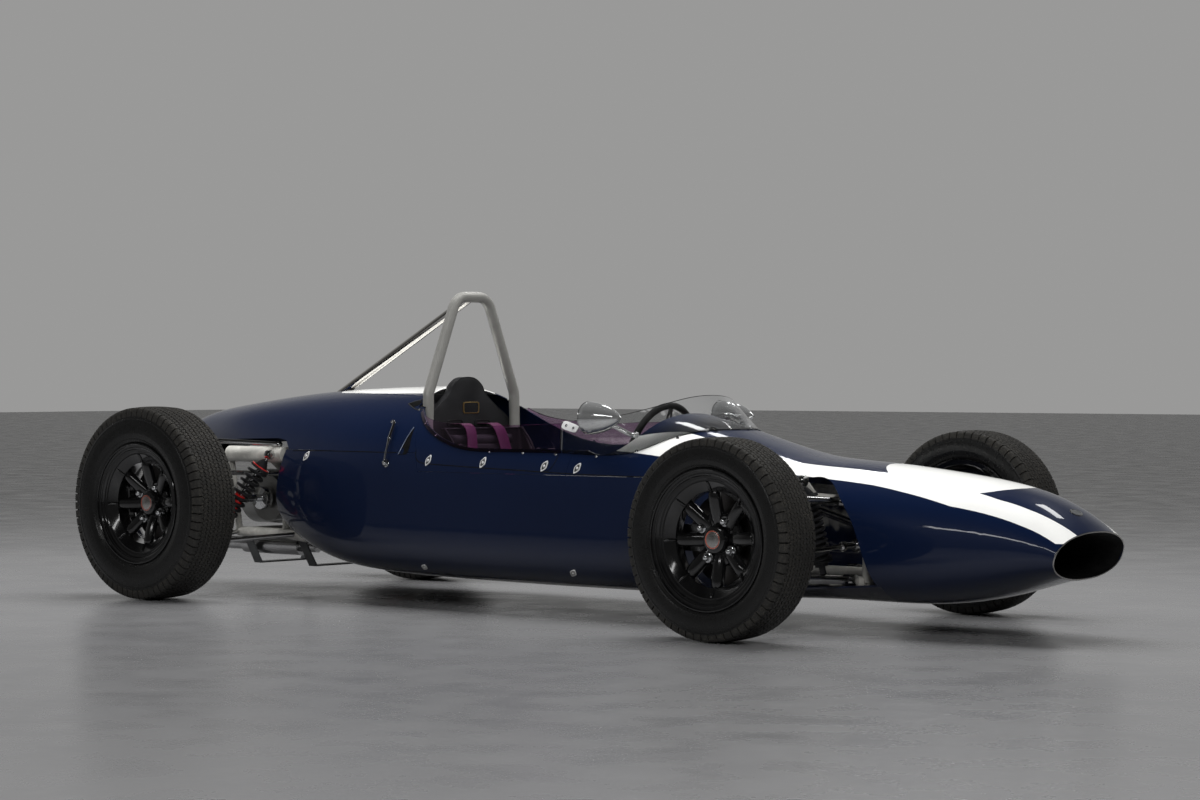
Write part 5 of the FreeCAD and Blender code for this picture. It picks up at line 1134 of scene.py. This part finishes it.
def seat_shell():
    """Moulded black shell seat with raised sides and a rolled lip."""
    section = list(SEAT_SECTION) + [(0.0, 0.0)] + [(-y, rise) for y, rise in reversed(SEAT_SECTION)]
    rows = [[point + SIDEWAYS * (SEAT_HALF * y) + up * height * rise for y, rise in section]
            for point, up, height in seat_stations()]
    form = Form()
    form.skin(rows, 0)
    shell = form.piece("seat_shell", "chassis", [SATIN_BLACK], 50, ["seat"])
    wall = shell.modifiers.new("wall", "SOLIDIFY")
    wall.thickness = 4 * MM
    wall.offset = 0
    left_edge = [row[0] for row in rows]
    right_edge = [row[-1] for row in reversed(rows)]
    form = Form()
    form.tube(left_edge + rows[-1][1:-1] + right_edge + rows[0][-2:0:-1], 4.2 * MM, 10, 0, loop=True)
    form.piece("seat_lip", "chassis", [SATIN_BLACK], 60)


def cushion(name, first, last, half, thick, channels):
    """Padded seat cushion lying in the shell, with sewn channels across it."""
    stations = seat_stations()[first:last]
    count = len(stations) - 1
    form = Form()
    rows = []
    for number in range(count * CUSHION_FINE + 1):
        base = min(number // CUSHION_FINE, count - 1)
        share = number / CUSHION_FINE - base
        low = stations[base]
        high = stations[base + 1]
        point = low[0].lerp(high[0], share)
        up = low[1].lerp(high[1], share).normalized()
        along = number / (count * CUSHION_FINE)
        end_fall = (1 - abs(2 * along - 1) ** 10) ** 0.5
        groove = abs(math.sin(math.pi * channels * along)) ** 0.35
        row = []
        for step in range(CUSHION_STEPS + 1):
            across = 2 * step / CUSHION_STEPS - 1
            side_fall = (1 - abs(across) ** 6) ** 0.5
            rise = 3 * MM + thick * side_fall * end_fall * (0.62 + 0.38 * groove)
            row.append(point + SIDEWAYS * (half * across * (0.985 + 0.015 * groove)) + up * rise)
        for step in range(CUSHION_STEPS, -1, -UNDERSIDE_STEP):
            across = 2 * step / CUSHION_STEPS - 1
            row.append(point + SIDEWAYS * (half * 0.985 * across) + up * 2.4 * MM)
        rows.append(row)
    form.skin(rows, 0, ring=True, caps=True)
    pad = form.piece(name, "chassis", [BLACK_LEATHER], 70)


def strap(form, points, ups):
    """Flat webbing strap through points, lying square to the ways given, with rolled edges."""
    path = curve_through(points, 10)
    lifts = curve_through(ups, 10)
    rows = []
    for number, point in enumerate(path):
        before = path[max(number - 1, 0)]
        after = path[min(number + 1, len(path) - 1)]
        along = (after - before).normalized()
        across = along.cross(lifts[number]).normalized()
        up = across.cross(along)
        rows.append([point + across * (STRAP_WIDTH * y) + up * (MM * z) for y, z in STRAP_SECTION])
    form.skin(rows, 0, ring=True, caps=True)


def harness():
    """Webbing harness: two shoulder straps, two lap straps, one between the legs, and their buckles."""
    form = Form()
    for side in (1, -1):
        across = SIDEWAYS * side
        strap(form, [flipped(Vector(point), side) for point in SHOULDER_STRAP],
              [UP, UP, UP + AHEAD * 0.5, AHEAD, AHEAD, AHEAD, AHEAD + UP * 0.5, AHEAD * 0.5 + UP, UP])
        strap(form, [flipped(Vector(point), side) for point in LAP_STRAP],
              [UP - across * 0.9, UP - across * 0.3, UP, UP, UP])
        for point, way, long_way in ((Vector((-0.404, side * 0.080, 0.452)), AHEAD + UP * 0.12, across),
                                     (Vector((-0.300, side * 0.110, 0.210)), UP, AHEAD + across * -0.4)):
            way = way.normalized()
            plate(form, point + way * MM, way, squared(long_way, way), (28, 14), 0.4,
                  ((-1, 1, 1), (2.4, 1, 1), (3, 0.94, 1), (3, 0.74, 1), (1.2, 0.70, 0), (1.2, 0.01, 0)), 32)
    strap(form, [Vector(point) for point in LEG_STRAP], [UP] * 4)
    plate(form, BUCKLE, UP, AHEAD, (36, 30), 0.45, ((-1, 1, 1), (6, 1, 1), (9, 0.92, 1), (10, 0.55, 1),
                                                    (10, 0.50, 2), (12, 0.44, 2), (12.5, 0.01, 2)))
    form.piece("harness_webbing", "chassis", [STRAP, SATIN, SATIN_BLACK], 40)


# Steering wheel

WHEEL_PLACE = Vector((0.318, 0, 0.476))
WHEEL_AXIS = Vector((-0.965641, 0, 0.259899))
RIM_PLANE = 28 * MM
RIM_RADIUS = 141.5 * MM
GRIP = 10.5 * MM
STITCHES = 110
# Spoke's outline and slot: half length, half width and lift, in mm
ARM_LOOPS = ((54, 13, -1.2), (54, 13, 0.8), (53, 12, 1.4), (35, 5.6, 1.4), (34, 5, 0.8), (34, 5, -1.2))


def wheel_arm(form, plane, axis, radial):
    """Tapered spoke of the steering wheel with its long slot."""
    short = axis.cross(radial)
    middle = plane - axis * 4 * MM + radial * 82 * MM
    loops = []
    for half_long, half_short, lift in ARM_LOOPS:
        loop = []
        for angle in turns(48):
            cosine = bowed(math.cos(angle), 0.4)
            taper = (1 - 0.22 * cosine) * bowed(math.sin(angle), 0.4)
            loop.append(middle + radial * half_long * cosine * MM + short * half_short * taper * MM
                        + axis * lift * MM)
        loops.append(loop)
    form.skin(loops, 1, ring=True, loop=True)


def steering_wheel():
    """Leather rim with sewn inner seam, three slotted alloy spokes and a blank boss cap."""
    axis, side, up = frame_of(WHEEL_AXIS)
    plane = WHEEL_PLACE + axis * RIM_PLANE
    form = Form()
    section = []
    for angle in turns(24):
        swell = 1 - 0.10 * max(0, math.cos(angle)) ** 6
        section.append((RIM_RADIUS - GRIP * math.cos(angle) * swell, GRIP * math.sin(angle)))
    form.turned(section, plane, axis, 96, 0, closed=True)
    for turn in turns(STITCHES):
        radial = round_way(side, up, turn)
        slant = axis * 2.0 * MM - axis.cross(radial) * 1.2 * MM
        at = plane + radial * (RIM_RADIUS - 0.905 * GRIP)
        form.tube([at + slant, at - radial * 0.5 * MM, at - slant], 0.5 * MM, 6, 3)
    for turn in turns(3, TURN / 4):
        wheel_arm(form, plane, axis, round_way(side, up, turn))
    form.turned(mm([(11.6, -24), (19, -24), (20, -22), (20, 6), (33, 18), (34, 20), (34, 25), (32.5, 26.5),
                    (27, 27)]), WHEEL_PLACE, axis, 56, 1)
    cap = [(27, 26), (27, 29), (25.5, 31), (21, 32.4), (12, 33.6), (0.3, 34)]
    form.turned(mm(cap), WHEEL_PLACE, axis, 48, 2)
    for turn in turns(6, TURN / 24):
        dome(form, WHEEL_PLACE + round_way(side, up, turn) * 30.3 * MM + axis * 26.6 * MM, axis, 2.2 * MM, 1)
    form.piece("steering_wheel_shape", "driver_wheel", [GRIP_LEATHER, SATIN, GLOSS_BLACK, THREAD], 35,
               ["steering_wheel"])


# Instruments

# Dials: distance from the middle, height, and radius in mm; the others have only their places
GAUGES = ((0.0, 0.5270, 38), (0.098, 0.5030, 25), (-0.098, 0.5030, 25))
SWITCHES = ((0.150, 0.4520), (0.128, 0.4420), (-0.128, 0.4420), (-0.150, 0.4520))
BUTTON = (0.072, 0.440)
PANEL_SCREWS = ((0.165, 0.424), (-0.165, 0.424), (0.055, 0.566), (-0.055, 0.566))
NEEDLE_REST = math.radians(-118)


def gauge(form, centre, radius, marks):
    """Round dial with a bright bezel, plain tick marks, a needle and its hub."""
    way = -AHEAD
    bezel = ((1.10, -0.2), (1.10, 4), (1.05, 6), (1.0, 6), (0.96, 3))
    form.turned([(radius * share, h * MM) for share, h in bezel], centre, way, 48, 0)
    face = [(radius * share, h * MM) for share, h in ((0.97, 3), (0.4, 2.4))]
    form.turned(face + mm([(0.2, 2.4)]), centre, way, 48, 1)
    for number in range(marks):
        radial = round_way(UP, SIDEWAYS, math.radians(-130 + 260 * number / (marks - 1)))
        inner = 0.66 if number % 2 == 0 else 0.76
        at = centre + way * 3.2 * MM
        form.tube([at + radial * radius * inner, at + radial * radius * 0.90], 0.55 * MM, 6, 2)
    radial = round_way(UP, SIDEWAYS, NEEDLE_REST)
    at = centre + way * 3.9 * MM
    form.tube([at - radial * radius * 0.18, at + radial * radius * 0.78], [0.9 * MM, 0.4 * MM], 6, 3)
    cap = [(radius * share, h * MM) for share, h in ((0.11, 2.4), (0.11, 4.6), (0.08, 5.2))]
    form.turned(cap + mm([(0.2, 5.3)]), centre, way, 20, 1)


def instruments():
    """Three round dials, four toggle switches, a push button and the panel's screws."""
    low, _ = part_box("dashboard")
    way = -AHEAD
    form = Form()
    for y, z, radius in GAUGES:
        gauge(form, Vector((low.x, y, z)), radius * MM, 21 if radius > 30 else 11)
    for y, z in SWITCHES:
        at = Vector((low.x, y, z))
        form.turned(mm([(6.5, -0.2), (6.5, 2.5), (5, 3.4), (3, 4)]), at, way, 6, 0)
        form.tube([at + way * ahead * MM - UP * drop * MM for ahead, drop in ((3, 0), (10, 3), (17, 6))],
                  [1.6 * MM, 1.9 * MM, 2.6 * MM], 12, 0)
    at = Vector((low.x, *BUTTON))
    form.turned(mm([(11, -0.2), (11, 3), (9.5, 4), (8.5, 4)]), at, way, 32, 0)
    form.turned(mm([(8.3, 2), (8.3, 7), (7, 8.4), (0.2, 9)]), at, way, 32, 3)
    for y, z in PANEL_SCREWS:
        dome(form, Vector((low.x, y, z)), way, 3.6 * MM, 0)
    form.piece("dashboard_dials", "chassis", [CHROME, MATT_BLACK, BARE_WHITE, SIGNAL_RED], 35)


# Radiator

RADIATOR_DEPTH = 32 * MM
SIDE_PLATE = 5 * MM
TUBES = 30
FINS = 58


def radiator_core():
    """Radiator: tanks above and below, side plates, flat tubes and close cooling fins."""
    low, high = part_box("radiator")
    back = high.x - RADIATOR_DEPTH
    tank = 0.13 * (high.z - low.z)
    floor = low.z + tank
    roof = high.z - tank
    form = Form()
    for foot in (low.z, roof):
        form.block((back, low.y, foot), (high.x, high.y, foot + tank))
    for y in (low.y, high.y - SIDE_PLATE):
        form.block((back, y, floor), (high.x, y + SIDE_PLATE, roof))
    case = form.piece("radiator_case", "chassis", [SATIN_BLACK], 40, ["radiator"])
    rounded(case, 3 * MM, 3)
    form = Form()
    step = (high.y - low.y - 2 * SIDE_PLATE) / TUBES
    for number in range(TUBES + 1):
        y = low.y + SIDE_PLATE + number * step
        form.block((back + 3 * MM, y - 0.9 * MM, floor), (high.x - 2 * MM, y + 0.9 * MM, roof))
    rise = (roof - floor) / FINS
    for number in range(FINS):
        z = floor + (number + 0.5) * rise
        form.block((back + 4 * MM, low.y + SIDE_PLATE, z - 0.25 * MM),
                   (high.x - 3 * MM, high.y - SIDE_PLATE, z + 0.25 * MM))
    form.piece("radiator_fins", "chassis", [DARK_GREY], 30)


# Nose opening

RIM_HALF_WIDTH = 0.174
RIM_HALF_HEIGHT = 0.0661
RIM_CENTRE = Vector((1.7671, 0, 0.2319))
RIM_LEAN = 0.346
RIM_POWER = 2 / 2.2
# Throat behind the bead: how far each ring is drawn in and set back, in mm
THROAT = ((4.4, 1), (6, 12), (8, 45), (4, 140), (-4, 330))


def rim_ring(drawn_in, back):
    """Closed line round the inlet, drawn in by a width and set back by a distance."""
    points = []
    for angle in turns(96):
        rise = (RIM_HALF_HEIGHT - drawn_in) * bowed(math.sin(angle), RIM_POWER)
        reach = (RIM_HALF_WIDTH - drawn_in) * bowed(math.cos(angle), RIM_POWER)
        points.append(RIM_CENTRE + Vector((RIM_LEAN * rise - back, reach, rise)))
    return points


def nose_opening():
    """Bright bead round the inlet and its black throat."""
    form = Form()
    form.tube(rim_ring(2.2 * MM, 0.6 * MM), 2.1 * MM, 8, 0, loop=True)
    form.skin([rim_ring(drawn_in * MM, back * MM) for drawn_in, back in THROAT], 1, ring=True)
    form.piece("inlet_bead_and_throat", "chassis", [SATIN, MATT_BLACK], 50)


def nose_oval():
    """Small blank oval plate with a dark field and bright edge, ahead of the nose disc."""
    place, way = skin_above(1.727, 0.0)
    form = Form()
    plate(form, place, way, SIDEWAYS, (24, 15), 1,
          ((-0.5, 1, 0), (1.2, 1, 0), (2, 0.93, 0), (2, 0.86, 0), (1.4, 0.82, 1), (1.5, 0.01, 1)))
    form.piece("nose_oval_plate", "chassis", [SATIN, DARK_GREY], 40)


# Stage, light and camera

CAMERA_PLACE = Vector((5.8332, -6.6708, 0.7104))
CAMERA_YAW = 2.28503
CAMERA_PITCH = -0.008427
CAMERA_ROLL = 0.00047
CAMERA_LENS = 87.18
FLOOR_REACH = 40
SURROUND_LIGHT = 0.32
SURROUND_DARK = 0.055
CEILING_SHARE = 0.22


def camera():
    """Camera at the photograph's place and lens."""
    data = bpy.data.cameras.new("camera")
    data.lens = CAMERA_LENS
    data.sensor_width = 36
    data.clip_end = 200
    thing = bpy.data.objects.new("camera", data)
    scene.collection.objects.link(thing)
    level = round_way(AHEAD, SIDEWAYS, CAMERA_YAW)
    way = level * math.cos(CAMERA_PITCH) + UP * math.sin(CAMERA_PITCH)
    turn = way.to_track_quat("-Z", "Y").to_matrix().to_4x4() @ Matrix.Rotation(-CAMERA_ROLL, 4, "Z")
    thing.matrix_world = Matrix.Translation(CAMERA_PLACE) @ turn
    scene.camera = thing


def area_light(name, place, aim, size, power, mirrored=True):
    """Soft box at a place, turned to a point; one that isn't mirrored shows in no gloss or clear sheet."""
    data = bpy.data.lights.new(name, "AREA")
    data.shape = "RECTANGLE"
    data.size, data.size_y = size
    data.energy = power
    thing = bpy.data.objects.new(name, data)
    thing.location = place
    thing.rotation_euler = (Vector(aim) - Vector(place)).to_track_quat("-Z", "Y").to_euler()
    thing.visible_glossy = mirrored
    thing.visible_transmission = mirrored
    scene.collection.objects.link(thing)


def studio():
    """Pale floor, a surround that is lighter behind the car, and soft lights."""
    finish = Finish("pale_floor", Specular_IOR_Level=0.5)
    pale = finish.mixed(finish.ranged(finish.noise(0.7, 5), 0, 1), (0.17, 0.17, 0.175), (0.20, 0.20, 0.203))
    finish.drive("Base Color", pale)
    finish.drive("Roughness", finish.ranged(finish.noise(5, 6), 0.22, 0.34))
    finish.bump(finish.noise(38, 4), 0.04, 0.002)
    corners = [(x * FLOOR_REACH, y * FLOOR_REACH, 0) for x, y in ((-1, -1), (1, -1), (1, 1), (-1, 1))]
    mesh = bpy.data.meshes.new("floor")
    mesh.from_pydata(corners, [], [(0, 1, 2, 3)])
    mesh.materials.append(finish.material)
    floor = bpy.data.objects.new("floor", mesh)
    scene.collection.objects.link(floor)
    surround()
    area_light("overhead", (-0.3, 0.5, 4.2), (-0.2, 0, 0.3), (5.0, 2.4), 290, False)
    for end, x in (("front", 1.2), ("rear", -1.6)):
        area_light(f"{end}_glow", (x, 3.0, 4.2), (x, 0, 0.3), (0.9, 0.6), 13)
    area_light("front_left", (4.6, -4.4, 3.2), (0.3, 0, 0.4), (2.4, 2.0), 190, False)
    area_light("side_strip", (1.2, -6.4, 3.6), (0.0, 0, 0.4), (5.0, 0.35), 36)
    area_light("rear_right", (-4.8, -2.6, 2.6), (-1.0, -0.3, 0.4), (1.6, 1.6), 80, False)
    scene.view_settings.view_transform = "Standard"
    scene.view_settings.look = "None"


def surround():
    """Soft grey all round, lightest behind the car as the camera sees it, and darker overhead."""
    world = bpy.data.worlds.new("studio")
    world.use_nodes = True
    nodes = world.node_tree.nodes
    links = world.node_tree.links
    place = nodes.new("ShaderNodeTexCoord").outputs["Generated"]

    def eased(value, start, end, first, last):
        """A socket's value brought smoothly from start..end to first..last."""
        node = nodes.new("ShaderNodeMapRange")
        node.interpolation_type = "SMOOTHSTEP"
        for name, number in (("From Min", start), ("From Max", end), ("To Min", first), ("To Max", last)):
            node.inputs[name].default_value = number
        links.new(value, node.inputs["Value"])
        return node.outputs["Result"]

    along = nodes.new("ShaderNodeVectorMath")
    along.operation = "DOT_PRODUCT"
    along.inputs[1].default_value = round_way(AHEAD, SIDEWAYS, CAMERA_YAW)
    links.new(place, along.inputs[0])
    split = nodes.new("ShaderNodeSeparateXYZ")
    links.new(place, split.inputs[0])
    both = nodes.new("ShaderNodeMath")
    both.operation = "MULTIPLY"
    links.new(eased(along.outputs["Value"], 0.0, 0.85, SURROUND_DARK, SURROUND_LIGHT), both.inputs[0])
    links.new(eased(split.outputs["Z"], 0.32, 0.62, 1.0, CEILING_SHARE), both.inputs[1])
    background = nodes["Background"]
    background.inputs["Color"].default_value = (1.0, 0.995, 0.985, 1)
    links.new(both.outputs[0], background.inputs["Strength"])
    scene.world = world


camera()
studio()
paint_nodes()
for wheel_end in ENDS:
    for wheel_side in SIDES:
        tyre(wheel_end, wheel_side)
        wheel(wheel_end, wheel_side)
        hub(wheel_end, wheel_side)
spring_units()
screws()
fasteners()
nose_opening()
nose_oval()
seams()
latches()
cover_notch_shades()
hoop_trims_and_opening_shades()
screen_brackets()
mirror_glasses()
head_panel()
seat_shell()
cushion("seat_base_cushion", 2, 26, 0.150, 20 * MM, 6)
cushion("seat_back_cushion", 33, 60, 0.145, 20 * MM, 6)
harness()
steering_wheel()
instruments()
radiator_core()
